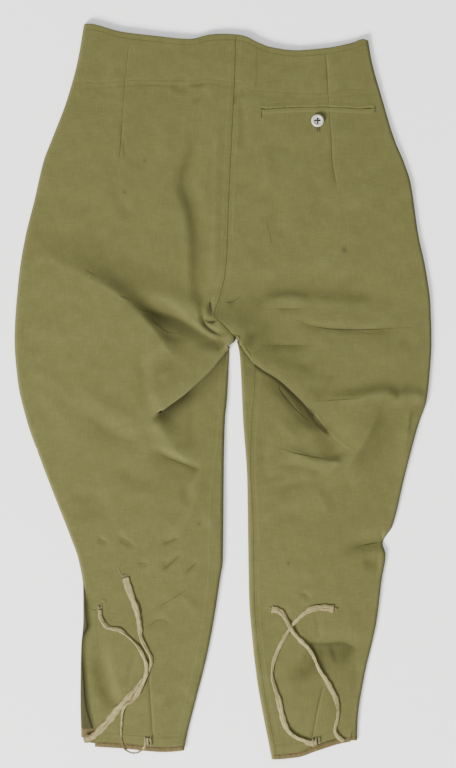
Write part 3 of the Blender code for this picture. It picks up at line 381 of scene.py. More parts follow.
# %% Creases on each leg
LEFT_CREASES = table(
    Crest,
    ("knee tuck one", ((-78, 666), (-54, 656)), -1, 5, 5, 0.7, (0.3, 0.3)),
    ("knee tuck two", ((-78, 699), (-52, 677)), -1.1, 6, 5, 0.7, (0.3, 0.3)),
    ("knee tuck three", ((-49, 704), (-29, 686)), -0.9, 5, 6, 0.8),
    ("knee tuck four", ((-162, 658), (-146, 666)), -0.8, 5, 5, 0.7),
    ("knee tuck five", ((-136, 655), (-110, 673)), -0.9, 5, 6, 0.8),
    ("knee tuck six", ((-111, 691), (-92, 692)), -0.7, 5, 5, 0.7),
    ("calf curve", ((-108, 798), (-117, 822), (-124, 850)), -0.7, 5, 6, 1),
    ("inner hollow", ((-53, 580), (-46, 603), (-40, 626)), -0.9, 8, 9, 2.5),
    ("hip line", ((-228, 232), (-200, 248), (-165, 262)), 0.6, 16, 16, 4),
    ("seat wave", ((-150, 232), (-136, 226), (-118, 240), (-98, 226), (-84, 214)), -0.8, 10, 12, 3),
    ("waist pull", ((-150, 20), (-140, 60), (-138, 110)), 0.5, 10, 12, 3, (0.4, 0.5)),
    ("side pull", ((-246, 395), (-215, 400), (-180, 412)), 0.7, 12, 12, 3, (0.3, 0.5)),
    ("side pull low", ((-250, 440), (-225, 452), (-200, 470)), 0.6, 10, 10, 3, (0.3, 0.5)),
    ("facing pucker one", ((-70, 78), (-52, 84), (-40, 82)), -0.7, 4, 6, 0.8, (0.3, 0.3)),
    ("facing pucker two", ((-40, 100), (-26, 92), (-20, 84)), -0.8, 5, 5, 0.9, (0.3, 0.3)),
    ("facing pucker three", ((-168, 84), (-150, 88), (-130, 87)), -0.6, 5, 6, 1, (0.3, 0.3)),
    ("edge wave", ((-30, 622), (-14, 640), (-8, 668)), 0.6, 9, 9, 2),
    ("waist ripple", ((-100, 30), (-60, 36), (-24, 31)), -0.5, 8, 8, 2.5),
    ("calf line one", ((-90, 750), (-66, 737), (-42, 721)), -0.8, 7, 9, 0.9),
    ("calf line two", ((-80, 744), (-56, 733), (-42, 744), (-36, 762)), 0.7, 9, 8, 1.2, (0.3, 0.4)),
    ("calf line three", ((-99, 773), (-80, 763), (-66, 770)), -0.7, 7, 8, 1),
    ("calf line four", ((-90, 866), (-73, 859), (-48, 830)), 0.8, 10, 9, 1, (0.3, 0.4)),
    ("knee line one", ((-150, 560), (-118, 578), (-84, 590)), -0.7, 12, 12, 1.6),
    ("knee line two", ((-140, 606), (-104, 600), (-66, 612)), 0.6, 12, 12, 1.6),
    ("thigh pull one", ((-236, 470), (-205, 500), (-186, 536)), 0.6, 12, 12, 2),
    ("fork pull", ((-60, 452), (-84, 448), (-108, 436)), 0.6, 10, 10, 2, (0.3, 0.5)),
    ("inner line", ((-36, 480), (-40, 512), (-36, 548)), -0.6, 9, 9, 1.4, (0.3, 0.4)),
    ("seat line one", ((-150, 150), (-138, 196), (-140, 236)), -0.6, 12, 12, 2.4),
    ("seat line two", ((-84, 112), (-74, 146), (-84, 180)), 0.6, 10, 12, 2),
)
RIGHT_CREASES = table(
    Crest,
    ("calf tuck", ((98, 727), (114, 737)), -0.8, 5, 6, 0.8),
    ("calf ray one", ((129, 797), (127, 824)), -0.9, 6, 6, 0.9, (0.2, 0.5)),
    ("calf ray two", ((141, 797), (147, 822)), -0.8, 5, 6, 0.9, (0.2, 0.5)),
    ("calf ray three", ((113, 798), (104, 820)), -0.8, 6, 6, 0.9, (0.2, 0.5)),
    ("side line", ((238, 508), (234, 545), (228, 580)), 0.7, 10, 10, 3),
    ("hip soft line", ((210, 205), (185, 222), (150, 232)), 0.6, 14, 14, 4),
    ("seat soft line", ((60, 200), (72, 250), (80, 300)), -0.7, 12, 14, 4),
    ("waist pull", ((150, 40), (146, 76), (150, 120)), 0.5, 10, 12, 3, (0.4, 0.5)),
    ("pocket sag", ((60, 132), (120, 146), (185, 132)), 0.6, 16, 10, 4, (0.3, 0.3)),
    ("seat pull", ((20, 300), (44, 312), (80, 318)), 0.7, 12, 12, 3),
    ("thigh pull", ((252, 420), (215, 424), (175, 430)), 0.8, 14, 12, 3, (0.3, 0.5)),
    ("seam pleat one", ((24, 92), (26, 130), (24, 170)), -0.8, 6, 8, 1.6, (0.3, 0.4)),
    ("seam pleat two", ((14, 104), (20, 92), (34, 88)), -0.7, 5, 6, 0.9, (0.3, 0.3)),
    ("low line", ((70, 614), (110, 606), (150, 604)), 0.6, 14, 14, 3),
    ("waist ripple", ((66, 46), (100, 52), (140, 46)), -0.5, 8, 8, 2.5),
    ("calf line one", ((90, 728), (120, 714), (150, 698)), -0.8, 8, 9, 1.2),
    ("calf line two", ((45, 762), (46, 780), (49, 800)), 0.6, 7, 7, 1),
    ("calf line three", ((119, 752), (122, 772), (121, 788)), -0.6, 5, 6, 1, (0.4, 0.3)),
    ("calf line four", ((170, 812), (171, 838), (168, 864)), -0.7, 7, 8, 1.2, (0.3, 0.4)),
    ("knee line one", ((62, 640), (96, 630), (128, 640)), -0.6, 12, 12, 1.6),
    ("knee line two", ((110, 590), (128, 608), (132, 636)), 0.7, 10, 10, 1.2, (0.3, 0.5)),
    ("knee line three", ((58, 600), (84, 592), (112, 586)), -0.7, 8, 8, 1),
    ("inner line", ((56, 520), (52, 556), (58, 592)), -0.6, 8, 9, 1.4),
    ("seat line one", ((104, 190), (122, 216), (128, 250)), -0.6, 12, 12, 2.2),
    ("seat line two", ((46, 140), (58, 180), (56, 222)), 0.7, 10, 12, 1.8),
    ("seat ray one", ((112, 400), (150, 404), (190, 402)), -0.5, 8, 8, 1),
    ("thigh ray one", ((60, 424), (96, 436), (130, 440)), -0.6, 9, 9, 1.2),
    ("thigh ray two", ((96, 456), (130, 458), (160, 456)), 0.5, 8, 8, 1.2),
    ("lens ridge", ((60, 446), (78, 466), (96, 492), (112, 516)), 1, 4, 4, 0.8, (0.25, 0.3)),
    ("under lap line", ((62, 500), (84, 520), (104, 543)), 0.6, 8, 8, 1.6),
)
print("creases:", len(LEFT_CREASES) + len(RIGHT_CREASES))

# %% Darts, facing and seams that the surface shows
DARTS = {
    -1: (((-119.7, 25), (-122.2, 48), (-125.8, 84.5), (-128.3, 122.9), (-131.8, 171.5)),
         ((-94.8, 836), (-92.8, 862.7), (-89.6, 911))),
    1: (((132.2, 38.4), (135.8, 96), (138.9, 140.8), (140.2, 173.4), (145.3, 206)),
        ((128.6, 847), (121, 878), (114.8, 912.6))),
}
# How faint each dart is along its length: (down, millimetres that its line seems further away)
DART_FAINT = {
    -1: (((25, 0.85), (60, 0.8), (122, 0.72), (138, 0.1), (160, 0), (172, 0.5)),
         ((836, 0.4), (850, 0.1), (911, 0.15))),
    1: (((38, 0.6), (52, 0.1), (78, 0.1), (94, 0.75), (128, 0.65), (146, 0.1), (196, 0.05), (206, 0.5)),
        ((847, 0.3), (862, 0), (912, 0.1))),
}
FACING = ((-184, 75), (-159, 75.5), (-122, 73), (-95, 72.3), (-42, 73), (-18.5, 70), (0, 73), (17.4, 75.5),
          (35.2, 84.5), (63.4, 86.3), (90, 88.5), (118.4, 89.4), (159.4, 84.5), (193.9, 83.2))
INLAY = ((44, 29.4), (44.2, 55), (42.6, 80.6))
STAINS = (((-125.4, 215), 4.2), ((-99.2, 174), 3.4), ((156, 289), 6.5), ((-30, 640), 3), ((84, 690), 3.6))

# %% [markdown]
# ## How a curve, a distance and a fold are worked out
# The curve never overshoots its table, which keeps an outline free of waves that nobody cut. The
# distance to a path is signed, so a fold knows on which side of it a point lies.

# %% Curves and folds
FOOT_SOFTNESS = 7.0
# How far away the finish takes a sewn line or a hard crease to be where there is none
NO_LINE, NO_CREASE = 50.0, 60.0
CREASE_END = 0.35


def soft_step(share):
    """Zero to one with level ends."""
    share = np.clip(share, 0.0, 1.0)
    return share * share * (3.0 - 2.0 * share)


def curve(rows):
    """A smooth function through rows of (place, value), which never overshoots them."""
    place, value = np.array(rows, dtype=float).T
    run = np.diff(place)
    slope = np.diff(value) / run
    tangent = np.empty_like(place)
    tangent[0], tangent[-1] = slope[0], slope[-1]
    product = slope[:-1] * slope[1:]
    total = slope[:-1] + slope[1:]
    safe = np.where(product > 0, total, 1.0)
    tangent[1:-1] = np.where(product > 0, 2.0 * product / safe, 0.0)

    def at(where):
        where = np.clip(where, place[0], place[-1])
        i = np.clip(np.searchsorted(place, where, side="right") - 1, 0, len(run) - 1)
        u = (where - place[i]) / run[i]
        rise = value[i] * (1 + 2 * u) * (1 - u) ** 2 + value[i + 1] * u * u * (3 - 2 * u)
        lean = tangent[i] * u * (1 - u) ** 2 - tangent[i + 1] * u * u * (1 - u)
        return rise + lean * run[i]

    return at


def smooth_path(points, steps=6):
    """Points along a soft line through the given ones."""
    path = np.array(points, dtype=float)
    ends = np.vstack([2 * path[0] - path[1], path, 2 * path[-1] - path[-2]])
    found = []
    for i in range(len(path) - 1):
        before, start, end, after = ends[i:i + 4]
        for k in range(steps):
            u = k / steps
            found.append(0.5 * (2 * start + (end - before) * u
                                + (2 * before - 5 * start + 4 * end - after) * u ** 2
                                + (3 * start - before - 3 * end + after) * u ** 3))
    found.append(path[-1])
    return np.array(found)


def fading(share, fade):
    """One along a path, and down to zero over the first and the last part of it."""
    return soft_step(share / fade[0]) * soft_step((1 - share) / fade[1])


def beside(across, down, path):
    """Signed distance to a path, plus on its right hand, and the share of the path passed."""
    start, step = path[:-1], np.diff(path, axis=0)
    length = np.hypot(step[:, 0], step[:, 1])
    passed = np.concatenate([[0.0], np.cumsum(length)])
    dx = across[..., None] - start[:, 0]
    dy = down[..., None] - start[:, 1]
    u = np.clip((dx * step[:, 0] + dy * step[:, 1]) / length ** 2, 0.0, 1.0)
    away = np.hypot(dx - u * step[:, 0], dy - u * step[:, 1])
    nearest = np.argmin(away, axis=-1)
    pick = lambda values: np.take_along_axis(values, nearest[..., None], axis=-1)[..., 0]
    side = np.sign(step[nearest, 0] * pick(dy) - step[nearest, 1] * pick(dx))
    return side * pick(away), (passed[nearest] + pick(u) * length[nearest]) / passed[-1]


def fold_height(across, down, fold):
    """Height that one fold adds."""
    off, share = beside(across, down, smooth_path(fold.path))
    on_right = 0.5 * (1 + np.tanh(off / fold.edge))
    height = fold.right * np.exp(-(off / fold.right_reach) ** 2) * on_right
    height += fold.left * np.exp(-(off / fold.left_reach) ** 2) * (1 - on_right)
    return height * fading(share, fold.fade)


def crest_height(across, down, crest):
    """Height that one crest or valley adds: two flat faces that meet in a rounded line."""
    path = smooth_path(crest.path)
    spread = 2.2 * max(crest.right, crest.left)
    low, high = path.min(axis=0) - spread, path.max(axis=0) + spread
    near = (across > low[0]) & (across < high[0]) & (down > low[1]) & (down < high[1])
    height = np.zeros(across.shape)
    if near.any():
        off, share = beside(across[near], down[near], path)
        carry = np.where(off > 0, crest.right, crest.left)
        far = (np.hypot(off, crest.round) - crest.round) / carry
        face = np.logaddexp(0.0, (1 - far) * FOOT_SOFTNESS) / FOOT_SOFTNESS
        height[near] = crest.rise * face * fading(share, crest.fade)
    return height


def shade_of(across, down, shades, under):
    """How much painted shade the folds lay on the cloth: zero is none, one is deep in a fold."""
    total = np.zeros(across.shape)
    for row in shades:
        tone = Crest("", row.path, row.depth, row.right, row.left, 1.0, row.fade)
        total += crest_height(across, down, tone) * (under if row.under else 1.0)
    return np.clip(total, 0, 1)


# %% [markdown]
# ## One leg as a surface
# The height of the cloth is a sum: how thick the empty leg lies, its broad swells, its folds, its fine
# creases and a slight unevenness that all worn cotton has. Near the outline the sum is scaled down by
# a quarter circle, so the cloth turns under the way a folded edge does. Where the seat laps over the
# thigh the cloth has two heights, one for the upper layer and one for the lower.

# %% The leg
HAND = np.random.default_rng(11)
WAVES = [(HAND.uniform(0.012, 0.11), HAND.uniform(0, math.pi), HAND.uniform(0, 2 * math.pi))
         for _ in range(16)]
WAVE_HEIGHT = 0.0033
FACING_THICK, FACING_SOFT = 0.45, 3.0
LEAST_BEND = 1.6
# Where the right half lies over the left one at the fork, and how far that reaches across and down
FORK_LAP_DOWN, FORK_LAP_WIDE, FORK_LAP_DEEP = 388, 30.0, 16.0
LAP_FULL = 0.2
SEAM_DIP, SEAM_REACH, SEAM_DIP_FROM = 0.15, 1.0, 2.0
DART_DIP, DART_REACH = 0.45, 2.2
FACING_EDGE = curve(FACING)


def unevenness(across, down):
    """Small, smooth rises and dips that never repeat."""
    total = np.zeros(np.shape(across))
    for pace, heading, start in WAVES:
        along = across * math.cos(heading) + down * math.sin(heading)
        total += np.sin(along * pace * math.pi + start) * WAVE_HEIGHT / (pace + 0.02)
    return total


def to_line(across, down, line):
    """Signed distance to a sewn line, and a large value past its ends."""
    off, share = beside(across, down, smooth_path(line))
    return np.where((share > 0) & (share < 1), off, NO_LINE)


def to_creases(across, down, rows):
    """Signed distance to the nearest hard crease, scaled up where the crease is thin or ends."""
    nearest = np.full(across.shape, NO_CREASE)
    for thin, path in rows:
        off, share = beside(across, down, smooth_path(path))
        ends = 1 - fading(share, (CREASE_END, CREASE_END))
        off = np.where((share > 0) & (share < 1), off * (1 + thin + LINE_END * ends), NO_CREASE)
        nearest = np.where(np.abs(off) < np.abs(nearest), off, nearest)
    return nearest


class Leg:
    """One half of the breeches: its outlines, its folds and the height of its cloth."""

    def __init__(self, turn, side, crotch, seam, inseam, hem, lap, corner, lap_fades, folds, swells, crests,
                 creases):
        self.turn = turn
        self.side, self.crotch, self.seam = curve(side), curve(crotch), curve(seam)
        self.inseam, self.hem = curve(inseam), curve(hem)
        self.crotch_top = crotch[0]
        self.lap = smooth_path(lap, 8)
        self.lap_corner, self.lap_fades = corner, lap_fades
        self.folds, self.swells, self.crests, self.creases = folds, swells, crests, creases
        self.dart_faint = [curve(rows) for rows in DART_FAINT[turn]]

    def height(self, across, down, below, fine=True):
        """Top of the cloth, for the sheet above the lap or, with below, under it."""
        across, down = np.broadcast_arrays(np.asarray(across, float), np.asarray(down, float))
        level = np.full(across.shape, LYING)
        for swell in self.swells:
            level = level + swell.rise * np.exp(-((across - swell.across) / swell.wide) ** 2
                                                - ((down - swell.down) / swell.deep) ** 2)
        for fold in self.folds:
            level = level + fold_height(across, down, fold)
        for crest in self.crests:
            level = level + crest_height(across, down, crest)
        off, share = beside(across, down, self.lap)
        first, last = self.lap_fades
        fades = 1 - soft_step((share - first) / (last - first))
        swell = LAP_RISE * np.exp(-(off / LAP_REACH) ** 2)
        ridge = LAP_RIDGE * swell * (1 - soft_step((share - LAP_FULL) / (last + LAP_RUN_OUT - LAP_FULL)))
        above = ridge + fades * (1 - LAP_RIDGE) * swell
        under = (1 - fades) * ridge - fades * LAP_DROP * np.exp(-(off / LAP_DROP_REACH) ** 2)
        level = level + np.where(below, under, above)
        if self.turn > 0:
            lapped = np.exp(-((down - FORK_LAP_DOWN) / FORK_LAP_DEEP) ** 2)
            level = level + RIGHT_OVER_LEFT * lapped * np.exp(-(across / FORK_LAP_WIDE) ** 2)
        if fine:
            for crest in self.creases:
                level = level + crest_height(across, down, crest)
            level = level + unevenness(across, down)
            level = level + FACING_THICK * soft_step((FACING_EDGE(across) - down) / FACING_SOFT + 0.5)
        level = LEAST + np.logaddexp(0.0, (level - LEAST) * LEAST_BEND) / LEAST_BEND
        if fine:
            for dart, faint in zip(DARTS[self.turn], self.dart_faint):
                dip = DART_DIP * (1 - faint(down))
                level = level - dip * np.exp(-(to_line(across, down, dart) / DART_REACH) ** 2)
        return EDGE_LIFT + (level - EDGE_LIFT) * self.rolled(across, down)

    def rolled(self, across, down):
        """One on the flat, and down to zero where the cloth turns under at the outline."""
        outer = self.turn * (self.side(down) - across)
        top_down, top_across = self.crotch_top
        beyond = np.maximum(0.0, top_down - down)
        inner = np.hypot(np.maximum(0.0, self.turn * (across - self.crotch(down))), beyond)
        inner = np.where(beyond > 0, np.hypot(across - top_across, beyond), inner)
        near = np.clip(np.minimum(outer, inner) / ROLL, 0.0, 1.0)
        return np.sqrt(1 - (1 - near) ** 2)


LEFT = Leg(-1, LEFT_SIDE, LEFT_CROTCH,
           SEAT_SEAM + ((407, 14.8), (411, 11.2), (415.5, 8.6), (430, 7.6), (470, 3)), LEFT_INSEAM,
           LEFT_HEM, LEFT_LAP, 421, (0.37, 0.45), LEFT_FOLDS, LEFT_SWELLS, LEFT_CRESTS, LEFT_CREASES)
RIGHT = Leg(1, RIGHT_SIDE, RIGHT_CROTCH,
            SEAT_SEAM + ((411, 19.6), (418, 21.8), (430, 24), (460, 31), (502, 36.5), (530, 36.4)),
            RIGHT_INSEAM, RIGHT_HEM, RIGHT_LAP, 435.7, (0.46, 0.58), RIGHT_FOLDS, RIGHT_SWELLS,
            RIGHT_CRESTS, RIGHT_CREASES)
WAIST = curve(WAIST_EDGE)
print("height on the left thigh %.1f mm" % float(LEFT.height(-150.0, 420.0, False)))

# %% [markdown]
# ## The back panels as one grid each
# Rows run from side to seam and columns from waist to hem, so seams, hems and stitch lines follow the
# grid. The lap is a Z-fold: its rows run over the lip, back underneath, and out again on the leg
# below. That is real overhanging cloth, which a height map alone can't make.

# %% Rows and columns
ROLL_STEPS = np.radians((0, 12, 24, 36, 48, 60, 75, 90))
SPREAD = np.linspace(0, 1, 108)[1:] ** 0.96
EDGE_SHARES = 1 - np.array((0.0065, 0.0035, 0.0015, 0.0))
SHARES = np.concatenate([SPREAD[:-1], EDGE_SHARES])
ROLL_OFFSETS = ROLL * (1 - np.cos(ROLL_STEPS))
COLUMN_BASE = np.concatenate([ROLL_OFFSETS, ROLL * (1 - SHARES)])
COLUMN_GAIN = np.concatenate([np.zeros(len(ROLL_OFFSETS)), SHARES])
SEAT_STEP = 2.6
LEG_LEVELS = np.concatenate([np.linspace(0.004, 0.988, 186), [0.992, 0.996, 1.0]])
FORK_SAG = 14.0
# A row's place and its level depend on each other, so both are worked out in turns
SETTLE, SETTLE_KEEPS = 30, 0.6
# Rows near the fork are flattened in the last part of each row, by the seam
FORK_SHARE, FORK_FROM, FORK_RUN = 0.04, 340, 50
# Rows near the waist: the first ones, and how deep below the edge they crowd together
FIRST_ROWS, CROWDED, LAST_ROW = (0, 0.7, 1.6, 3.0), 8, 6.5
WAIST_FAR, WAIST_NEAR = {-1: -178.0, 1: 186.5}, 17.5
HEM_SIDE_DOWN, HEM_SEAM_DOWN = 925.0, 930.0
# How far from the lip the heights over and under a lap are taken, back on the seat and out on the leg
LAP_BACK, LAP_OUT = 5.0, 2.0


def row_table(leg, points, inner):
    """Down along a row as a function of the share from side to inner edge."""
    outer = leg.side(points[:, 1])
    shares = (points[:, 0] - outer) / (inner(points[:, 1]) - outer)
    order = np.argsort(shares)
    shares, downs = shares[order], points[order, 1]
    keep = np.concatenate([[True], np.diff(shares) > 1e-4])
    return lambda share: np.interp(share, shares[keep], downs[keep])


def edge_points(edge, first, last, count=60):
    """Points along an edge that runs across."""
    across = np.linspace(first, last, count)
    return np.stack([across, edge(across)], axis=1)


def place_row(leg, row_down, inner, outer):
    """Columns of one row whose level is a function of the share."""
    down = np.full(len(COLUMN_BASE), float(row_down(0.5)))
    for _ in range(SETTLE):
        side, seam = outer(down), inner(down)
        across = side - leg.turn * (COLUMN_BASE + COLUMN_GAIN * leg.turn * (side - seam))
        down = SETTLE_KEEPS * down + (1 - SETTLE_KEEPS) * row_down((across - side) / (seam - side))
    return across, down


def lap_rows(leg, lip, low, steps):
    """The rows of the Z-fold between the lip and the leg below it."""
    (lip_x, lip_y), (low_x, low_y) = lip, low
    tangent_x, tangent_y = np.gradient(lip_x), np.gradient(lip_y)
    size = np.hypot(tangent_x, tangent_y)
    out_x, out_y = -tangent_y / size, tangent_x / size
    turn_out = np.where(out_y < 0, -1.0, 1.0)
    out_x, out_y = out_x * turn_out, out_y * turn_out
    over = leg.height(lip_x - LAP_BACK * out_x, lip_y - LAP_BACK * out_y, False)
    under = leg.height(low_x + LAP_OUT * out_x, low_y + LAP_OUT * out_y, True)
    drop = over - under
    laps = soft_step((drop - FOLD_LAP_LOW) / (FOLD_LAP_FULL - FOLD_LAP_LOW))
    found = []
    for k, (step_back, step_height) in enumerate(steps):
        part = k / (len(steps) - 1)
        back = (1 - laps) * (LAP_BACK - (LAP_BACK + LAP_OUT) * part) + laps * step_back
        fall = (1 - laps) * (1 - soft_step(part)) + laps * step_height
        across = lip_x + part * (low_x - lip_x) - back * out_x
        down = lip_y + part * (low_y - lip_y) - back * out_y
        found.append(points_at(across, down, under + fall * drop))
    return found


def panel_grid(leg, outer_edge, hem_rise):
    """Points of a back panel, row by row, and the number of the first row under the lap."""
    seat_inner = lambda down: leg.seam(down) + leg.turn * SEAM_HALF_GAP
    leg_inner = lambda down: leg.inseam(down) + leg.turn * SEAM_HALF_GAP
    waist_row = row_table(leg, edge_points(WAIST, WAIST_FAR[leg.turn], WAIST_NEAR), leg.seam)
    lap_row = row_table(leg, leg.lap, leg.seam)
    low_row = row_table(leg, leg.lap[leg.lap[:, 1] >= leg.lap_corner], leg.inseam)
    hem_ends = float(outer_edge(HEM_SIDE_DOWN)), float(leg.inseam(HEM_SEAM_DOWN))
    hem_row = row_table(leg, edge_points(leg.hem, *hem_ends), leg.inseam)

    def seat_level(at_seam):
        def level(share):
            top, lap = waist_row(share), lap_row(share)
            part = (at_seam - waist_row(1.0)) / (lap_row(1.0) - waist_row(1.0))
            flatter = FORK_SAG * soft_step((at_seam - FORK_FROM) / FORK_RUN) * (1 - share) / FORK_SHARE
            return top + part * (lap - top) - flatter * np.exp(-(1 - share) / FORK_SHARE)
        return level

    grid = []
    top = float(waist_row(1.0))
    evenly = np.arange(FIRST_ROWS[-1] + SEAT_STEP, float(lap_row(1.0)) - LAST_ROW, SEAT_STEP)
    for at_seam in (*FIRST_ROWS, *evenly):
        crowded = top + at_seam * CROWDED / (top + CROWDED)
        level = at_seam if at_seam > top + CROWDED else crowded
        across, down = place_row(leg, seat_level(level), seat_inner, leg.side)
        grid.append(points_at(across, down, leg.height(across, down, False)))
    lip = place_row(leg, lap_row, seat_inner, leg.side)
    low = place_row(leg, low_row, leg_inner, leg.side)
    grid.extend(lap_rows(leg, lip, low, smooth_path(LAP_PROFILE, 3)))
    first_low = len(grid)
    for part in LEG_LEVELS:
        def level(share, part=part):
            first = low_row(share) + LAP_OUT
            return first + part * (hem_row(share) - hem_rise - first)
        across, down = place_row(leg, level, leg_inner, outer_edge)
        grid.append(points_at(across, down, leg.height(across, down, True)))
    return np.array(grid), first_low


# %% [markdown]
# ## From a grid to a sewn shell
# A grid becomes a mesh whose faces all point up and out. Solidify then gives the cloth its thickness
# downwards. What the finish needs to know about the sewing, such as the distance to a dart, is stored
# on the vertices as numbers: distances mix evenly between vertices, so a line drawn from them stays
# crisp however close one looks. Cut edges are marked sharp, so the thin wall there doesn't darken the
# face beside it.

# %% Shell maker
SHELL = 0.9


def add_object(name, mesh):
    """A mesh object in the scene."""
    thing = bpy.data.objects.new(name, mesh)
    bpy.context.scene.collection.objects.link(thing)
    return thing


def store(mesh, name, values):
    """A number on every vertex."""
    layer = mesh.attributes.new(name, "FLOAT", "POINT")
    layer.data.foreach_set("value", np.asarray(values, dtype=np.float32).ravel())


def grid_mesh(name, grid, leave_out=None):
    """A smooth mesh over a grid of points, with its cut edges marked sharp."""
    high, wide = grid.shape[:2]
    mesh = bpy.data.meshes.new(name)
    row, col = np.meshgrid(np.arange(high - 1), np.arange(wide - 1), indexing="ij")
    a = (row * wide + col).ravel()
    faces = np.stack([a, a + wide, a + wide + 1, a + 1], axis=1)
    row_step, column_step = grid[1, 0] - grid[0, 0], grid[0, 1] - grid[0, 0]
    if row_step[0] * column_step[1] > row_step[1] * column_step[0]:
        faces = faces[:, ::-1]
    if leave_out is not None:
        faces = faces[~leave_out[:-1, :-1].ravel()]
    mesh.from_pydata(world(grid).reshape(-1, 3).tolist(), [], faces.tolist())
    mesh.polygons.foreach_set("use_smooth", np.ones(len(mesh.polygons), dtype=bool))
    mesh.update()
    used = np.empty(len(mesh.loops), dtype=np.int32)
    mesh.loops.foreach_get("edge_index", used)
    cut = np.bincount(used, minlength=len(mesh.edges)) == 1
    mesh.edges.foreach_set("use_edge_sharp", cut)
    return mesh


def map_cloth(mesh, along, over):
    """A UV map from millimetres along and across a narrow piece, one pair for every vertex."""
    layer = mesh.uv_layers.new(name="cloth")
    corners = np.empty(len(mesh.loops), dtype=np.int32)
    mesh.loops.foreach_get("vertex_index", corners)
    values = np.stack([along.ravel()[corners], over.ravel()[corners]], axis=1) * MM
    layer.data.foreach_set("uv", values.ravel().astype(np.float32))


def finish_piece(thing, finish, node):
    """Give a piece its material and its place in the frame, and hide the solid it stands for."""
    thing.data.materials.append(finish)
    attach(thing, "root")
    if node is not None:
        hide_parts(node)
    return thing


def shell(name, mesh, wall, finish, node, offset=-1.0):
    """A piece of cloth with a thickness, inwards from its outer face unless offset says otherwise."""
    thing = add_object(name, mesh)
    solid = thing.modifiers.new("cloth thickness", "SOLIDIFY")
    solid.thickness, solid.offset, solid.use_rim = wall * MM, offset, True
    return finish_piece(thing, finish, node)


def made_mesh(thing, name):
    """What an object becomes through its modifiers, as a mesh, and the object itself goes."""
    mesh = bpy.data.meshes.new_from_object(thing.evaluated_get(bpy.context.evaluated_depsgraph_get()))
    bpy.data.objects.remove(thing, do_unlink=True)
    mesh.name = name
    return mesh


def hollow_share(grid, reach=3):
    """How deep each point lies among its neighbours: plus in hollows, minus on ridges."""
    level = grid[..., 2]
    padded = np.pad(level, reach, mode="edge")
    rows = sum(padded[k:k + level.shape[0], reach:-reach] for k in (0, 2 * reach))
    cols = sum(padded[reach:-reach, k:k + level.shape[1]] for k in (0, 2 * reach))
    return (rows + cols) / 4 - level


# %% [markdown]
# ## Finishes
# Khaki drill is a twill: fine ribs run across it at an angle, and it fades where it is rubbed. Its
# colour is mixed from the faded yarn, the darker yarn and a slow drift that years of washing leave,
# with painted shade laid into its hollows, folds, creases and turned edges. The weave is made in the
# material, at its true pitch, because as geometry it would need many millions of faces.

# %% Small tools for materials
def new_finish(name, roughness=0.9):
    """An empty principled finish and its node tree."""
    finish = bpy.data.materials.new(name)
    finish.use_nodes = True
    shader = finish.node_tree.nodes["Principled BSDF"]
    shader.inputs["Roughness"].default_value = roughness
    shader.inputs["Specular IOR Level"].default_value = 0.2
    return finish, finish.node_tree, shader


def math_node(tree, kind, *values, clamp=False):
    """One sum, with numbers or sockets as its inputs."""
    node = tree.nodes.new("ShaderNodeMath")
    node.operation, node.use_clamp = kind, clamp
    for socket, value in zip(node.inputs, values):
        if isinstance(value, (int, float)):
            socket.default_value = value
        else:
            tree.links.new(value, socket)
    return node.outputs[0]


def mix_colour(tree, share, first, second):
    """One colour laid over another."""
    node = tree.nodes.new("ShaderNodeMix")
    node.data_type = "RGBA"
    for socket, value in ((node.inputs[0], share), (node.inputs[6], first), (node.inputs[7], second)):
        if isinstance(value, (int, float)):
            socket.default_value = value
        elif isinstance(value, tuple):
            socket.default_value = (*value, 1.0)
        else:
            tree.links.new(value, socket)
    return node.outputs[2]


def tint(tree, colour, share, strength, tone):
    """A colour with a share of another tone laid over it."""
    return mix_colour(tree, math_node(tree, "MULTIPLY", share, strength), colour, tone)


def ramp(tree, value, gain, shift):
    """A number scaled and shifted, and kept between zero and one."""
    return math_node(tree, "MULTIPLY_ADD", value, gain, shift, clamp=True)


def number_of(tree, name):
    """A number stored on the vertices."""
    node = tree.nodes.new("ShaderNodeAttribute")
    node.attribute_name = name
    return node.outputs["Fac"]


def mapped(tree, place, scale=(1, 1, 1), turn=0.0):
    """A place, scaled and turned."""
    mapping = tree.nodes.new("ShaderNodeMapping")
    mapping.inputs["Scale"].default_value = scale
    mapping.inputs["Rotation"].default_value = (0, 0, turn)
    tree.links.new(place, mapping.inputs["Vector"])
    return mapping.outputs[0]


def placed(tree, scale=(1, 1, 1), turn=0.0):
    """The piece's own place in metres, scaled and turned."""
    return mapped(tree, tree.nodes.new("ShaderNodeTexCoord").outputs["Object"], scale, turn)


def noise(tree, place, scale, detail=3.0, rough=0.55):
    """Soft unevenness at one size."""
    node = tree.nodes.new("ShaderNodeTexNoise")
    node.inputs["Scale"].default_value = scale
    node.inputs["Detail"].default_value = detail
    node.inputs["Roughness"].default_value = rough
    tree.links.new(place, node.inputs["Vector"])
    return node.outputs["Fac"]


def ribs(tree, place, scale, distortion=0.6):
    """Fine parallel ribs, one way of a weave."""
    node = tree.nodes.new("ShaderNodeTexWave")
    node.wave_type, node.bands_direction, node.wave_profile = "BANDS", "X", "SIN"
    node.inputs["Scale"].default_value = scale
    node.inputs["Distortion"].default_value = distortion
    node.inputs["Detail"].default_value = 1.0
    node.inputs["Detail Scale"].default_value = 1.5
    tree.links.new(place, node.inputs["Vector"])
    return node.outputs["Fac"]


def line_share(tree, distance, half, soft):
    """One on a line, falling to zero beside it."""
    away = math_node(tree, "ABSOLUTE", distance)
    return math_node(tree, "SUBTRACT", 1.0,
                     math_node(tree, "DIVIDE", math_node(tree, "SUBTRACT", away, half), soft),
                     clamp=True)


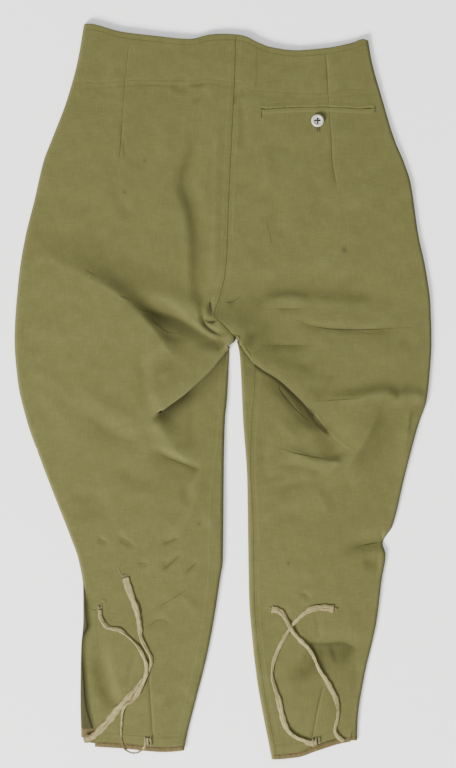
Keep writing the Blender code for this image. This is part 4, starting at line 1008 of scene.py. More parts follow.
def relief(tree, shader, heights):
    """Bumps for the shader from (height, strength, distance) rows."""
    normal = None
    for height, strength, distance in heights:
        bump = tree.nodes.new("ShaderNodeBump")
        bump.inputs["Strength"].default_value = strength
        bump.inputs["Distance"].default_value = distance
        tree.links.new(height, bump.inputs["Height"])
        if normal is not None:
            tree.links.new(normal, bump.inputs["Normal"])
        normal = bump.outputs["Normal"]
    tree.links.new(normal, shader.inputs["Normal"])


# %% Khaki drill
KHAKI_LIT = (0.093, 0.090, 0.027)
KHAKI_DEEP = (0.050, 0.048, 0.012)
KHAKI_FADED = (0.117, 0.116, 0.041)
KHAKI_STAIN = (0.029, 0.025, 0.009)
# The next two tones are painted shade in folds, at the turned outline, in hard creases and beside the vent's
# edge; the first also draws the waist's stitch row
KHAKI_SEAM_LINE_AND_PAINTED_SHADE = (0.023, 0.020, 0.003)
KHAKI_PAINTED_CREVICE_SHADE = (0.010, 0.009, 0.002)
TWILL_PITCH = 1050.0
VENT_SHADOW_MARK = 30.0
WAIST_ROW = 8.0

# Dark and pale lines beside the sewing, in the order in which they are laid on. Each row: the number
# that holds the distance, how far off the line lies, half its width, how softly it ends, how strong it
# is, its tone, and where it also shapes the cloth the strength and height of that
SewnLine = namedtuple("SewnLine", "number off half soft strength tone relief", defaults=(None,))
SEWN_LINES = table(
    SewnLine,
    ("dart", 0.0, 0.15, 0.75, 0.62, KHAKI_STAIN, (0.4, -0.0004)),
    ("dart", 1.8, 0.3, 1.1, 0.22, KHAKI_FADED),
    ("facing", -0.6, 0.3, 0.9, 0.30, KHAKI_DEEP),
    ("facing", -7.2, 0.3, 0.9, 0.20, KHAKI_DEEP),
    ("waist", 0.0, 0.3, 0.9, 0.35, KHAKI_DEEP),
    ("waist", WAIST_ROW, 0.5, 1.3, 0.5, KHAKI_SEAM_LINE_AND_PAINTED_SHADE),
    ("inlay", 0.0, 0.4, 1.6, 0.35, KHAKI_DEEP, (0.3, -0.0003)),
    ("seam", 0.0, 0.15, 0.75, 0.72, KHAKI_STAIN),
    ("seam", -6.5, 0.3, 1.5, 0.16, KHAKI_FADED, (0.25, 0.0003)),
)


def streaks(tree, across, down):
    """Long thin unevenness, as of yarns spun thick and thin."""
    return noise(tree, placed(tree, (across, down, 1)), 700.0, 2.0, 0.5)


def khaki_finish(name, sewn, depth=1.0):
    """Cotton drill, with every tone scaled by depth for its darker copies, which are painted shade. With
    sewn, it also draws the darts, the facing's edge, the stains and painted shade in hollows, folds, creases
    and at the outline; without, a painted shadow beside a vent's edge where the piece stores one.
    """
    lit, deep, faded = (tuple(c * depth for c in tone) for tone in (KHAKI_LIT, KHAKI_DEEP, KHAKI_FADED))
    finish, tree, shader = new_finish(name)
    shader.inputs["Sheen Weight"].default_value = 0.05
    shader.inputs["Sheen Roughness"].default_value = 0.5
    here = placed(tree)
    slow, mottle = noise(tree, here, 7.0, 3.0), noise(tree, here, 110.0, 4.0, 0.6)
    slub = noise(tree, placed(tree, (1, 0.12, 1), 0.9), 900.0, 3.0)
    warp, weft = streaks(tree, 1.0, 0.10), streaks(tree, 0.12, 1.0)
    weave = ribs(tree, placed(tree, turn=math.radians(58)), TWILL_PITCH)
    cross = ribs(tree, placed(tree, turn=math.radians(-28)), TWILL_PITCH * 1.7, 1.0)
    colour = mix_colour(tree, math_node(tree, "MULTIPLY", slow, 0.42), lit, deep)
    broad = noise(tree, placed(tree, (1, 0.6, 1), 0.3), 26.0, 5.0, 0.62)
    yarn = math_node(tree, "ADD", warp, weft)
    # Wear, each row: the noise that it follows, its gain and shift, how strong it is, and its tone
    for value, gain, shift, strength, tone in (
            (broad, 2.6, -1.15, 0.24, deep), (yarn, 3.2, -3.25, 0.32, faded),
            (yarn, -3.2, 3.15, 0.20, deep), (mottle, 1.6, -0.62, 0.22, faded)):
        colour = tint(tree, colour, ramp(tree, value, gain, shift), strength, tone)
    threads = math_node(tree, "MULTIPLY", math_node(tree, "ADD", weave, slub), 0.5)
    colour = mix_colour(tree, ramp(tree, threads, -0.34, 0.26), colour, deep)
    heights = [(weave, 0.35, 0.00022), (cross, 0.2, 0.00014), (slub, 0.3, 0.0002), (warp, 0.25, 0.0003),
               (weft, 0.25, 0.0003), (mottle, 0.12, 0.0008)]
    if sewn:
        # Painted shade darkens the hollows, and the ridges are rubbed pale
        for gain, strength, tone in ((1.0, 0.55, KHAKI_DEEP), (-0.9, 0.40, KHAKI_FADED)):
            colour = tint(tree, colour, ramp(tree, number_of(tree, "hollow"), gain, 0.0), strength, tone)
        for row in SEWN_LINES:
            away = math_node(tree, "ADD", number_of(tree, row.number), row.off)
            line = line_share(tree, away, row.half, row.soft)
            colour = tint(tree, colour, line, row.strength, row.tone)
            if row.relief:
                heights.append((line, *row.relief))
        # Painted shade along the folds and laps, from the shade tables
        colour = mix_colour(tree, number_of(tree, "shade"), colour, KHAKI_SEAM_LINE_AND_PAINTED_SHADE)
        # Painted shade in the hard creases, as thin dark lines
        for line_set in LINE_SETS:
            hard = line_share(tree, number_of(tree, line_set), 0.2, 0.9)
            colour = tint(tree, colour, hard, 0.85, KHAKI_PAINTED_CREVICE_SHADE)
        # Painted shade where the cloth turns under at the outline
        colour = tint(tree, colour, number_of(tree, "rim"), 0.42, KHAKI_SEAM_LINE_AND_PAINTED_SHADE)
        colour = mix_colour(tree, number_of(tree, "stain"), colour, KHAKI_STAIN)
    else:
        # Painted shadow of the back's edge, as a dark line along it on the underlap
        to_vent = math_node(tree, "SUBTRACT", number_of(tree, "vent"), VENT_SHADOW_MARK)
        vent_edge_shadow = line_share(tree, to_vent, 1.1, 1.5)
        colour = tint(tree, colour, vent_edge_shadow, 0.95, KHAKI_PAINTED_CREVICE_SHADE)
    tree.links.new(colour, shader.inputs["Base Color"])
    relief(tree, shader, heights)
    return finish


KHAKI = khaki_finish("khaki drill, sewn", True)
KHAKI_PLAIN = khaki_finish("khaki drill", False)
# A darker copy of the drill, as painted shade on the left underlap
KHAKI_SHADE = khaki_finish("khaki drill, painted shade", False, 0.46)
# A darker copy of the drill, as painted shade on the pocket's backing in the slit
KHAKI_SLIT_SHADE = khaki_finish("khaki drill, inside, painted shade", False, 0.40)
print("finishes:", KHAKI.name, KHAKI_PLAIN.name)

# %% [markdown]
# Binding and tape are plain weaves, seen as a fine grid. One recipe makes both, with the colours of each,
# its thread pitch, its dirt and how creased it is; sewing thread has its own recipe, with its twist.

# %% Bindings, tapes and threads
def tape_finish(name, lit, dark, pitch, dirt, creased):
    """A narrow plain-woven tape whose threads run along and across it."""
    finish, tree, shader = new_finish(name, 0.85)
    uv = tree.nodes.new("ShaderNodeUVMap")
    uv.uv_map = "cloth"
    first = ribs(tree, mapped(tree, uv.outputs[0]), pitch, 0.4)
    second = ribs(tree, mapped(tree, uv.outputs[0], turn=math.radians(90)), pitch * 0.8, 0.4)
    mottle = noise(tree, placed(tree), 160.0, 4.0, 0.6)
    slow = noise(tree, placed(tree), 24.0, 3.0)
    threads = math_node(tree, "MULTIPLY", math_node(tree, "ADD", first, second), 0.5)
    colour = mix_colour(tree, ramp(tree, threads, -0.5, 0.5), lit, dark)
    soil = ramp(tree, mottle, 2.2, -0.8)
    colour = tint(tree, colour, soil, dirt, dark)
    colour = tint(tree, colour, slow, 0.25, dark)
    # The tape's small creases: bumps, and painted shade in them
    wrinkle = noise(tree, mapped(tree, uv.outputs[0], (0.08, 1, 1)), 380.0, 3.0, 0.6)
    pleat = ramp(tree, wrinkle, -6.0, 3.1)
    colour = tint(tree, colour, pleat, creased, dark)
    # Painted shade at the tape's edges, where they curve under
    colour = tint(tree, colour, number_of(tree, "painted_edge_shade"), 0.9, dark)
    tree.links.new(colour, shader.inputs["Base Color"])
    relief(tree, shader, [(first, 0.35, 0.00025), (second, 0.35, 0.00025), (mottle, 0.2, 0.0005),
                          (wrinkle, creased, 0.0012)])
    return finish


BINDING = tape_finish("brown binding", (0.120, 0.094, 0.035), (0.058, 0.043, 0.016), 380.0, 0.45, 0.2)
LINEN = tape_finish("cream linen tape", (0.335, 0.290, 0.135), (0.085, 0.066, 0.024), 420.0, 0.5, 0.75)


def thread_finish(name, colour, shade):
    """Spun sewing thread, with its twist."""
    finish, tree, shader = new_finish(name, 0.7)
    twist = noise(tree, placed(tree), 2600.0, 2.0)
    tree.links.new(mix_colour(tree, twist, colour, shade), shader.inputs["Base Color"])
    relief(tree, shader, [(twist, 0.3, 0.0002)])
    return finish


KHAKI_THREAD = thread_finish("khaki thread", (0.114, 0.107, 0.042), (0.066, 0.060, 0.021))
PALE_THREAD = thread_finish("pale thread", (0.248, 0.218, 0.120), (0.132, 0.108, 0.053))
GREY_THREAD = thread_finish("dark grey thread", (0.030, 0.030, 0.032), (0.012, 0.012, 0.014))
BROWN_THREAD = thread_finish("brown thread", (0.095, 0.078, 0.032), (0.050, 0.040, 0.018))

# %% Pearl
def pearl_finish():
    """A shell or pressed pearl button: nearly white, with slow clouds and a soft gloss."""
    finish, tree, shader = new_finish("pearl button", 0.32)
    shader.inputs["Specular IOR Level"].default_value = 0.5
    cloud = noise(tree, placed(tree, (1, 1, 3)), 240.0, 3.0)
    tree.links.new(mix_colour(tree, cloud, (0.52, 0.51, 0.44), (0.31, 0.305, 0.25)),
                   shader.inputs["Base Color"])
    relief(tree, shader, [(cloud, 0.08, 0.0003)])
    return finish


PEARL = pearl_finish()
print("materials:", len(bpy.data.materials))


# %% [markdown]
# ## The two backs
# Each back is one cut of cloth from waist to hem, and drill this heavy hardly stretches.

# %% Lay the backs
SLIT_LINE = ((49.5, 107.6), (58, 108.2), (72, 107), (106, 105.8), (134, 105.7), (154, 106.5),
             (175, 107.6), (194, 106.6))
SLIT_PATH = smooth_path(SLIT_LINE, 4)
SLIT_OPEN, SLIT_ENDS = 1.9, (1, 2.5)
# How much further away than it is the finish takes the inner leg's seam to be, which makes it fainter
LEG_SEAM_FAINT = {-1: 0.8, 1: -0.2}
UNDER_ROWS = 14
FACING_ENDS, WAIST_ENDS = 200, 60
MOST_HOLLOW, STAIN_DEPTH = 1.5, 0.75


def lay_back(leg, name, node, vent_edge):
    """A back panel as a shell over its solid. Gives back its outer edge."""
    vent = curve(vent_edge)

    def outer_edge(down):
        inwards = leg.turn * np.minimum(leg.turn * leg.side(down), leg.turn * vent(down))
        return np.where(down > vent_edge[0][0], inwards, leg.side(down))

    grid, first_low = panel_grid(leg, outer_edge, BINDING_DEEP + GAP)
    across, down = grid[..., 0], grid[..., 1]
    lower = np.arange(len(grid))[:, None] >= first_low
    to_seam = leg.turn * (across - np.where(lower, leg.inseam(down), leg.seam(down)))
    seen_seam = to_seam + np.where(lower, LEG_SEAM_FAINT[leg.turn], 0.0)
    raised = grid[..., 2] > SEAM_DIP_FROM
    grid[..., 2] -= SEAM_DIP * np.exp(-(to_seam / SEAM_REACH) ** 2) * raised * ~lower
    hole = None
    if leg.turn > 0:
        line = np.interp(across, SLIT_PATH[:, 0], SLIT_PATH[:, 1])
        inside = (across > SLIT_LINE[0][0] + SLIT_ENDS[0]) & (across < SLIT_LINE[-1][0] - SLIT_ENDS[1])
        hole = inside & (np.abs(down - line) < SLIT_OPEN)
    mesh = grid_mesh(name, grid, hole)
    darts = []
    for dart, faint in zip(DARTS[leg.turn], leg.dart_faint):
        off = to_line(across, down, dart)
        darts.append(np.sign(off) * (np.abs(off) + faint(down)))
    spots = [np.exp(-((across - x) ** 2 + (down - y) ** 2) / (0.5 * wide) ** 2)
             for (x, y), wide in STAINS]
    nothing = np.full(across.shape, NO_CREASE)
    store(mesh, "dart", np.where(np.abs(darts[0]) < np.abs(darts[1]), *darts))
    store(mesh, "facing", np.where(down < FACING_ENDS, down - FACING_EDGE(across), nothing))
    store(mesh, "waist", np.where(down < WAIST_ENDS, down - WAIST(across) - WAIST_ROW, nothing))
    store(mesh, "inlay", to_line(across, down, INLAY) if leg.turn > 0 else nothing)
    store(mesh, "seam", seen_seam)
    beneath = np.arange(len(grid))[:, None] >= first_low - UNDER_ROWS
    store(mesh, "shade", shade_of(across, down, LEFT_SHADES if leg.turn < 0 else RIGHT_SHADES,
                                  np.broadcast_to(beneath, across.shape)))
    for line_set, rows in zip(LINE_SETS, LEFT_LINES if leg.turn < 0 else RIGHT_LINES):
        store(mesh, line_set, to_creases(across, down, rows))
    # rim: for painted shade at the turned edge, one at the outline
    store(mesh, "rim", 1 - leg.rolled(across, down))
    # How deep each point lies, for painted shade in the hollows and pale wear on the ridges
    store(mesh, "hollow", np.clip(hollow_share(grid), -MOST_HOLLOW, MOST_HOLLOW))
    store(mesh, "stain", np.clip(sum(spots), 0, 1) * STAIN_DEPTH)
    thing = shell(name, mesh, SHELL, KHAKI, node)
    print(name, len(mesh.polygons), "faces")
    return outer_edge


LEFT_OUTER = lay_back(LEFT, "cloth_back_left", "back_left", LEFT_VENT_EDGE)
RIGHT_OUTER = lay_back(RIGHT, "cloth_back_right", "back_right", RIGHT_VENT_EDGE)

# %% [markdown]
# ## The fronts
# The fronts lie flat underneath. Along the inner leg each one turns up and over the edge as far as the
# inseam, so a narrow strip of it shows beside the seam.

# %% Lay the fronts and their turned strips
FRONT_INSET, CALF_INSET, FRONT_SHORT = 3.6, 6.5, 4.0
FRONT_COLUMNS, FRONT_ROWS = np.linspace(0, 1, 28), np.arange(60, 880, 9.0)
CALF_FROM, CALF_RUN = 690, 30
FORK_ACROSS, FORK_DOWN = 17.4, 404
TURN_COLUMNS = np.array((0.0, 0.02, 0.06, 0.13, 0.22, 0.34, 0.48, 0.62, 0.76, 0.88, 0.96, 1.0))
# At the fork a turned strip slips this far under the back's folded edge, and this much lower
TURN_TUCK, TURN_DROP, TURN_SLIP = 1.5, 1.3, 16.0
TURN_FIRST, TURN_ROWS = {-1: 413.0, 1: 406.0}, 150


def rows_across(outer, inner, shares, level):
    """One row whose level is a function of across."""
    down = np.full(len(shares), float(level(np.array(outer(450.0)))))
    for _ in range(SETTLE // 2):
        first, last = outer(down), inner(down)
        across = first + shares * (last - first)
        down = level(across)
    return across, down


def front_edges(leg):
    """Inset outline of the flat front under the back."""
    calf = lambda down: (CALF_INSET - FRONT_INSET) * soft_step((down - CALF_FROM) / CALF_RUN)
    outer = lambda down: leg.side(down) - leg.turn * (FRONT_INSET + calf(down))
    inner = lambda down: np.where(down < FORK_DOWN, FORK_ACROSS + leg.turn * SEAM_HALF_GAP,
                                  leg.crotch(down) + leg.turn * FRONT_INSET)
    return outer, inner


def lay_front(leg, name, node):
    """The flat front."""
    outer, inner = front_edges(leg)
    hem_inset = BINDING_DEEP + FRONT_INSET + GAP
    levels = [lambda a: WAIST(a) + FRONT_SHORT]
    levels += [lambda a, d=d: np.full(np.shape(a), float(d)) for d in FRONT_ROWS]
    levels += [lambda a: leg.hem(a) - hem_inset]
    grid = []
    for level in levels:
        across, down = rows_across(outer, inner, FRONT_COLUMNS, level)
        grid.append(points_at(across, down, CLOTH))
    thing = shell(name, grid_mesh(name, np.array(grid)), CLOTH, KHAKI_PLAIN, node)


def lay_turn(leg, name, node):
    """The strip of the front that turns over the inner leg as far as the inseam."""
    last = float(leg.hem(leg.inseam(HEM_SEAM_DOWN))) - BINDING_DEEP - GAP
    grid = []
    for down in np.linspace(TURN_FIRST[leg.turn], last, TURN_ROWS):
        tucked = 1 - float(soft_step((down - leg.lap_corner) / TURN_SLIP))
        seam = float(leg.inseam(down)) - leg.turn * (SEAM_HALF_GAP - TURN_TUCK * tucked)
        outline = float(leg.crotch(down))
        across = outline + TURN_COLUMNS * (seam - outline)
        level = np.minimum(down, leg.hem(across) - BINDING_DEEP - GAP)
        height = leg.height(across, level, True) - TURN_DROP * tucked * TURN_COLUMNS
        grid.append(points_at(across, level, height))
    thing = shell(name, grid_mesh(name, np.array(grid)), SHELL, KHAKI_PLAIN, node)


lay_front(LEFT, "cloth_front_left", "front_left")
lay_front(RIGHT, "cloth_front_right", "front_right")
lay_turn(LEFT, "cloth_turn_left", "front_left_turn")
lay_turn(RIGHT, "cloth_turn_right", "front_right_turn")
print("fronts laid")

# %% [markdown]
# ## Bound hems
# A brown tape is folded round each hem. It stands a little proud of the cloth, and its lower edge is
# the fold, so its section is a half round there.

# %% Bind the hems
def bound(name, grid, wall, node):
    """A piece of binding over a grid, with a map that runs along and across it."""
    high, wide = grid.shape[:2]
    step_across = np.linalg.norm(np.diff(grid, axis=1), axis=2)
    step_down = np.linalg.norm(np.diff(grid, axis=0), axis=2)
    mesh = grid_mesh(name, grid)
    map_cloth(mesh, np.concatenate([np.zeros((high, 1)), np.cumsum(step_across, axis=1)], axis=1),
              np.concatenate([np.zeros((1, wide)), np.cumsum(step_down, axis=0)], axis=0))
    return shell(name, mesh, wall, BINDING, node)


# The band's section, each row (rise above the hem, how proud it stands)
BAND_SECTION = ((7.4, -0.16), (6.6, 0.03), (5.6, 0.14), (4.2, 0.30), (2.8, 0.38), (1.4, 0.36),
                (0.5, 0.18), (0.1, -0.20), (0.0, -0.60))
BAND_SHARES, BAND_WALL, BAND_LEAST = np.linspace(0, 1, 90) ** 0.9, 0.7, 0.9
# The band's slight ripple, each row (height, pace, start)
BAND_RIPPLES = ((0.12, 0.9, 0.0), (0.10, 0.37, 1.0))


def bind_hem(leg, name, node, outer, end_across):
    """The band round the hem of a back and its turned strip."""
    far = float(outer(HEM_SIDE_DOWN))
    grid = []
    for rise, proud in BAND_SECTION:
        near = leg.crotch(leg.hem(end_across) - rise) + leg.turn * 0.05
        across = far + (near - far) * BAND_SHARES
        down = leg.hem(across) - rise
        height = leg.height(across, down, True) + proud
        if proud > 0:
            height += sum(size * np.sin(across * pace + start) for size, pace, start in BAND_RIPPLES)
        grid.append(points_at(across, down, np.maximum(height, BAND_LEAST)))
    bound(name, np.array(grid), BAND_WALL, node)


def bind_front(leg, name, node):
    """The band round the hem of a flat front."""
    outer, inner = front_edges(leg)
    grid = []
    for rise in (BINDING_DEEP + FRONT_INSET, BINDING_DEEP / 2 + FRONT_INSET, FRONT_INSET):
        across, down = rows_across(outer, inner, np.linspace(0, 1, 50), lambda a, r=rise: leg.hem(a) - r)
        grid.append(points_at(across, down, CLOTH))
    bound(name, np.array(grid), CLOTH, node)


bind_hem(LEFT, "binding_back_left", "hem_binding_back_left", LEFT_OUTER, -50.0)
bind_hem(RIGHT, "binding_back_right", "hem_binding_back_right", RIGHT_OUTER, 64.0)
bind_front(LEFT, "binding_front_left", "hem_binding_front_left")
bind_front(RIGHT, "binding_front_right", "hem_binding_front_right")

# %% [markdown]
# ## Calf vents
# The calf opens at its outer side. The front reaches under the opening as an underlap, which shows beside
# the back's edge; the left one is a darker copy of the drill, as painted shade. Only a corner of the right
# one shows.

# %% Lay the underlaps
UNDERLAP_TOP, UNDERLAP_TUCK, UNDERLAP_WALL = 2.55, 8.0, 0.8
UNDERLAP_BAND_PROUD, VENT_SHADOW_OFF = 0.25, 0.4
UNDERLAP_COLUMNS = np.array((0.0, 0.02, 0.06, 0.12, 0.2, 0.3, 0.42, 0.56, 0.7, 0.85, 1.0))


def underlap_grid(leg, vent, lines):
    """Rows of an underlap: level is zero where it lies flush with the back, one under it."""
    grid = []
    for down, level, tuck in lines:
        outline = float(leg.side(down))
        inner = float(vent(down)) + leg.turn * (SEAM_HALF_GAP * 2 * (1 - tuck) - UNDERLAP_TUCK * tuck)
        across = outline + UNDERLAP_COLUMNS * (inner - outline)
        flush = leg.height(across, down, True)
        low = EDGE_LIFT + (UNDERLAP_TOP - EDGE_LIFT) * leg.rolled(across, down)
        grid.append(points_at(across, down, flush + level * (low - flush)))
    return np.array(grid)


def lay_underlap(leg, side, finish, vent_edge, rows, hem):
    """An underlap and the end of its bound hem. Each of its rows is (down, level, tuck)."""
    vent = curve(vent_edge)
    downs, levels, tucks = np.array(rows, dtype=float).T
    places = np.linspace(downs[0], downs[-1], max(6, int(downs[-1] - downs[0]) // 3))
    grid = underlap_grid(leg, vent, zip(places, np.interp(places, downs, levels),
                                        np.interp(places, downs, tucks)))
    name = "cloth_underlap_" + side
    mesh = grid_mesh(name, grid)
    # The left underlap stores how far it lies past the back's edge, for the painted shadow line
    if side == "left":
        past_edge = leg.turn * (grid[..., 0] - vent(grid[..., 1])) - VENT_SHADOW_OFF
        store(mesh, "vent", VENT_SHADOW_MARK + past_edge)
    cloth = shell(name, mesh, UNDERLAP_WALL, finish, "vent_underlap_" + side)
    band = underlap_grid(leg, vent, [(d, levels[-1], 1.0) for d in np.linspace(*hem, 7)])
    band[1:-1, 1:, 2] += UNDERLAP_BAND_PROUD
    edge = bound("binding_underlap_" + side, band, UNDERLAP_WALL, "underlap_binding_" + side)


LEFT_UNDERLAP_ROWS = ((717, 0, 0), (742, 0, 0), (756, 0.3, 0), (766, 1, 0), (774, 1, 1), (902, 1, 1))
RIGHT_UNDERLAP_ROWS = ((888, 0.3, 1), (913.4, 0.3, 1))
lay_underlap(LEFT, "left", KHAKI_SHADE, LEFT_VENT_EDGE, LEFT_UNDERLAP_ROWS, (902.3, 914))
lay_underlap(RIGHT, "right", KHAKI_PLAIN, RIGHT_VENT_EDGE, RIGHT_UNDERLAP_ROWS, (912.3, 917.5))

# %% [markdown]
# ## Hip pocket
# The mouth is a plain slit whose two edges are turned in. It has sagged open a little at both ends,
# where the backing shows, drawn dark as painted shade, and its button holds the middle shut.

# %% Pocket lips and backing
LIP_REACH = {-1: ((9.5, -0.6), (8.0, -0.16), (6.2, -0.02), (4.8, 0.06)),
             1: ((9.6, -1.4), (8.2, -0.5), (6.9, 0.03))}
LIP_SECTION = ((3.4, 0.14), (2.0, 0.22), (1.1, 0.20), (0.6, -0.05), (0.45, -0.6),
               (0.6, -1.3), (1.4, -1.7))
# How proud each lip stands, as a share of its section, and how far it gives way where the slit gapes
LIP_PROUD, LIP_GIVES = {-1: 1.5, 1: 1.2}, {-1: 0.3 * 0.8, 1: 0.8}
LIP_WALL, LIP_CLEAR, SLIT_HALF = 0.5, 0.05, 0.35
# How far the slit gapes along its length, each row (share of the length, share of the width)
GAPE_WIDE = 1.1
GAPE = ((0.0, 0.2), (0.06, 1.0), (0.16, 0.15), (0.25, 0.0), (0.8, 0.0), (0.88, 0.25), (0.95, 0.9),
        (1.0, 0.2))
BACKING_DOWN, BACKING_SINK, BACKING_WALL = np.linspace(-5, 11, 12), 0.4, 0.8


def pocket_lip(name, way):
    """One turned edge of the slit. Way is minus one above the slit and plus one below."""
    across, line = smooth_path(SLIT_LINE, 12).T
    gape = np.interp(np.linspace(0, 1, len(across)), *np.array(GAPE).T)
    grid = []
    for back, proud in LIP_REACH[way] + LIP_SECTION:
        open_by = np.minimum(gape * GAPE_WIDE, back)
        down = line + way * (back + open_by * LIP_GIVES[way] - SLIT_HALF)
        top = RIGHT.height(across, down, False)
        grid.append(points_at(across, down, top + proud * LIP_PROUD[way] + LIP_CLEAR))
    shell(name, grid_mesh(name, np.array(grid)), LIP_WALL, KHAKI_PLAIN, None)


def pocket_backing(name):
    """The cloth that shows in the slit, in a darker copy of the drill as painted shade."""
    across = np.linspace(SLIT_LINE[0][0] - 4, SLIT_LINE[-1][0] + 4, 60)
    line = np.interp(across, SLIT_PATH[:, 0], SLIT_PATH[:, 1])
    grid = [points_at(across, down, RIGHT.height(across, down, False, fine=False) - CLOTH - BACKING_SINK)
            for down in (line + level for level in BACKING_DOWN)]
    shell(name, grid_mesh(name, np.array(grid)), BACKING_WALL, KHAKI_SLIT_SHADE, "pocket_backing")


pocket_lip("cloth_pocket_lip_upper", -1)
pocket_lip("cloth_pocket_lip_lower", 1)
pocket_backing("cloth_pocket_backing")
print("pocket laid")

# %% [markdown]
# ## Button
# A four-hole button is turned, so its section is drawn once and spun. The holes are cut through, and
# dark thread crosses between them.

# %% Turn the button
BUTTON_ACROSS, BUTTON_DOWN = 121.6, 123.8
BUTTON_SECTION = ((0.0, 1.6), (3.9, 1.65), (4.8, 2.1), (5.5, 2.74), (6.5, 2.72), (7.4, 2.35), (7.9, 1.7),
                  (7.9, 1.0), (7.4, 0.35), (6.0, 0.05), (0.0, 0.0))
BUTTON_SIDES, BUTTON_RESTS, BUTTON_CLEAR = 64, 8.2, 0.3
HOLES, HOLE_PLACE, HOLE_RADIUS, HOLE_SIDES = 4, 2.6, 1.0, 20
DRILL_LONG, DRILL_LEVEL = 12.0, 1.4
SHARP_FROM = math.radians(35)


def button_level():
    """Where the button rests on the cloth."""
    turns = np.linspace(0, 2 * math.pi, 12)
    rim = RIGHT.height(BUTTON_ACROSS + BUTTON_RESTS * np.cos(turns),
                       BUTTON_DOWN + BUTTON_RESTS * np.sin(turns), False)
    return float(np.max(rim)) + BUTTON_CLEAR


def solid_mesh(name, shape):
    """A mesh from a bmesh, which is freed."""
    mesh = bpy.data.meshes.new(name)
    shape.to_mesh(mesh)
    shape.free()
    return mesh


def turned_button():
    """The button, spun from its section and drilled."""
    low = button_level()
    shape = bmesh.new()
    rings = []
    for radius, level in smooth_path(BUTTON_SECTION, 2)[1:-1]:
        ring = [(BUTTON_ACROSS + radius * math.cos(t), BUTTON_DOWN - radius * math.sin(t), low + level)
                for t in np.linspace(0, 2 * math.pi, BUTTON_SIDES, endpoint=False)]
        rings.append([shape.verts.new(p) for p in world(ring)])
    for first, second in zip(rings, rings[1:]):
        for k in range(BUTTON_SIDES):
            after = (k + 1) % BUTTON_SIDES
            shape.faces.new((first[k], second[k], second[after], first[after]))
    shape.faces.new(rings[0])
    shape.faces.new(list(reversed(rings[-1])))
    bmesh.ops.recalc_face_normals(shape, faces=shape.faces)
    thing = add_object("button", solid_mesh("button", shape))
    drills = []
    for k in range(HOLES):
        hole = bmesh.new()
        bmesh.ops.create_cone(hole, cap_ends=True, segments=HOLE_SIDES, radius1=HOLE_RADIUS * MM,
                              radius2=HOLE_RADIUS * MM, depth=DRILL_LONG * MM)
        way = 2 * math.pi * k / HOLES
        place = (BUTTON_ACROSS + HOLE_PLACE * math.cos(way), BUTTON_DOWN + HOLE_PLACE * math.sin(way),
                 low + DRILL_LEVEL)
        bmesh.ops.translate(hole, verts=hole.verts, vec=Vector(world(place)))
        drills.append(add_object("drill_%d" % k, solid_mesh("drill", hole)))
        cut = thing.modifiers.new("hole", "BOOLEAN")
        cut.operation, cut.solver, cut.object = "DIFFERENCE", "EXACT", drills[-1]
    drilled = made_mesh(thing, "pearl_button_mesh")
    for drill in drills:
        bpy.data.objects.remove(drill, do_unlink=True)
    drilled.polygons.foreach_set("use_smooth", np.ones(len(drilled.polygons), dtype=bool))
    drilled.materials.clear()
    shape = bmesh.new()
    shape.from_mesh(drilled)
    for edge in shape.edges:
        if len(edge.link_faces) == 2:
            edge.smooth = edge.calc_face_angle(0) < SHARP_FROM
    shape.to_mesh(drilled)
    shape.free()
    return finish_piece(add_object("button_pearl", drilled), PEARL, "pocket_button")


print("button", len(turned_button().data.polygons), "faces")

# %% [markdown]
# ## Calf tapes
# Two linen tapes a leg tie the calf shut. They lie loose, and a limp tape rolls in along its length
# where it bends sideways, so its seen width changes from its full ten millimetres to about two. Each
# route is a row of places with the width seen there. The section at each place is an arc that is as
# long as the full width and spans the seen one.

# %% Tapes
TAPE_FULL = 10.0
TAPE_STEPS = 12
# The four routes, each row (across, down, seen width)
TAPE_LEFT_VENT = (
    (-125, 709, 10), (-121, 722, 9.6), (-116, 735, 8.8), (-111, 748, 7.6), (-108, 760, 6.2),
    (-106, 772, 5.2), (-105, 783, 4.4), (-101, 793, 4), (-96, 802, 3.8), (-91.5, 811, 3.4),
    (-92, 822, 3.2), (-98, 834, 3.4), (-107, 845, 4.2), (-117, 857, 5.4), (-127, 869, 7.2),
    (-136, 879, 9), (-144, 890, 9.8), (-153, 900, 9.6), (-161, 908, 8.6), (-169, 914, 8.4),
    (-178, 916, 8.2),
)
TAPE_LEFT_SEAM = (
    (-157, 750, 5.1), (-156, 760, 5.2), (-149, 771, 5.6), (-140, 774, 5.8), (-131, 776, 5.2),
    (-120, 785, 3.4), (-110, 795, 3.2), (-103, 806, 4.4), (-98, 819, 5.2), (-98, 831, 5.2),
    (-102, 843, 5.6), (-108, 855, 6.2), (-115, 865, 6), (-124, 871, 4.4), (-128, 880, 3.2),
    (-129, 891, 2.6), (-129.5, 903, 2.4), (-130, 914, 2.3), (-127, 925, 2.2), (-120, 931.5, 2.1),
    (-111, 933, 2.1), (-103, 929, 2.4), (-98.5, 922.5, 5.5), (-95.5, 914, 9),
)
TAPE_RIGHT_VENT = (
    (63, 749.5, 8.6), (70, 750.5, 8.2), (77, 755, 6.4), (83, 765, 4.8), (89, 776, 4.6), (98, 787, 4.8),
    (108, 797, 4.4), (115, 807, 3.6), (120, 818, 3.2), (125, 828, 3.8), (132, 839, 5.6),
    (139, 851, 6.4), (145, 863, 6), (148, 876, 3.6), (147, 890, 3.2), (144, 903, 3.6),
    (148, 912, 4.6), (155, 918, 6),
)
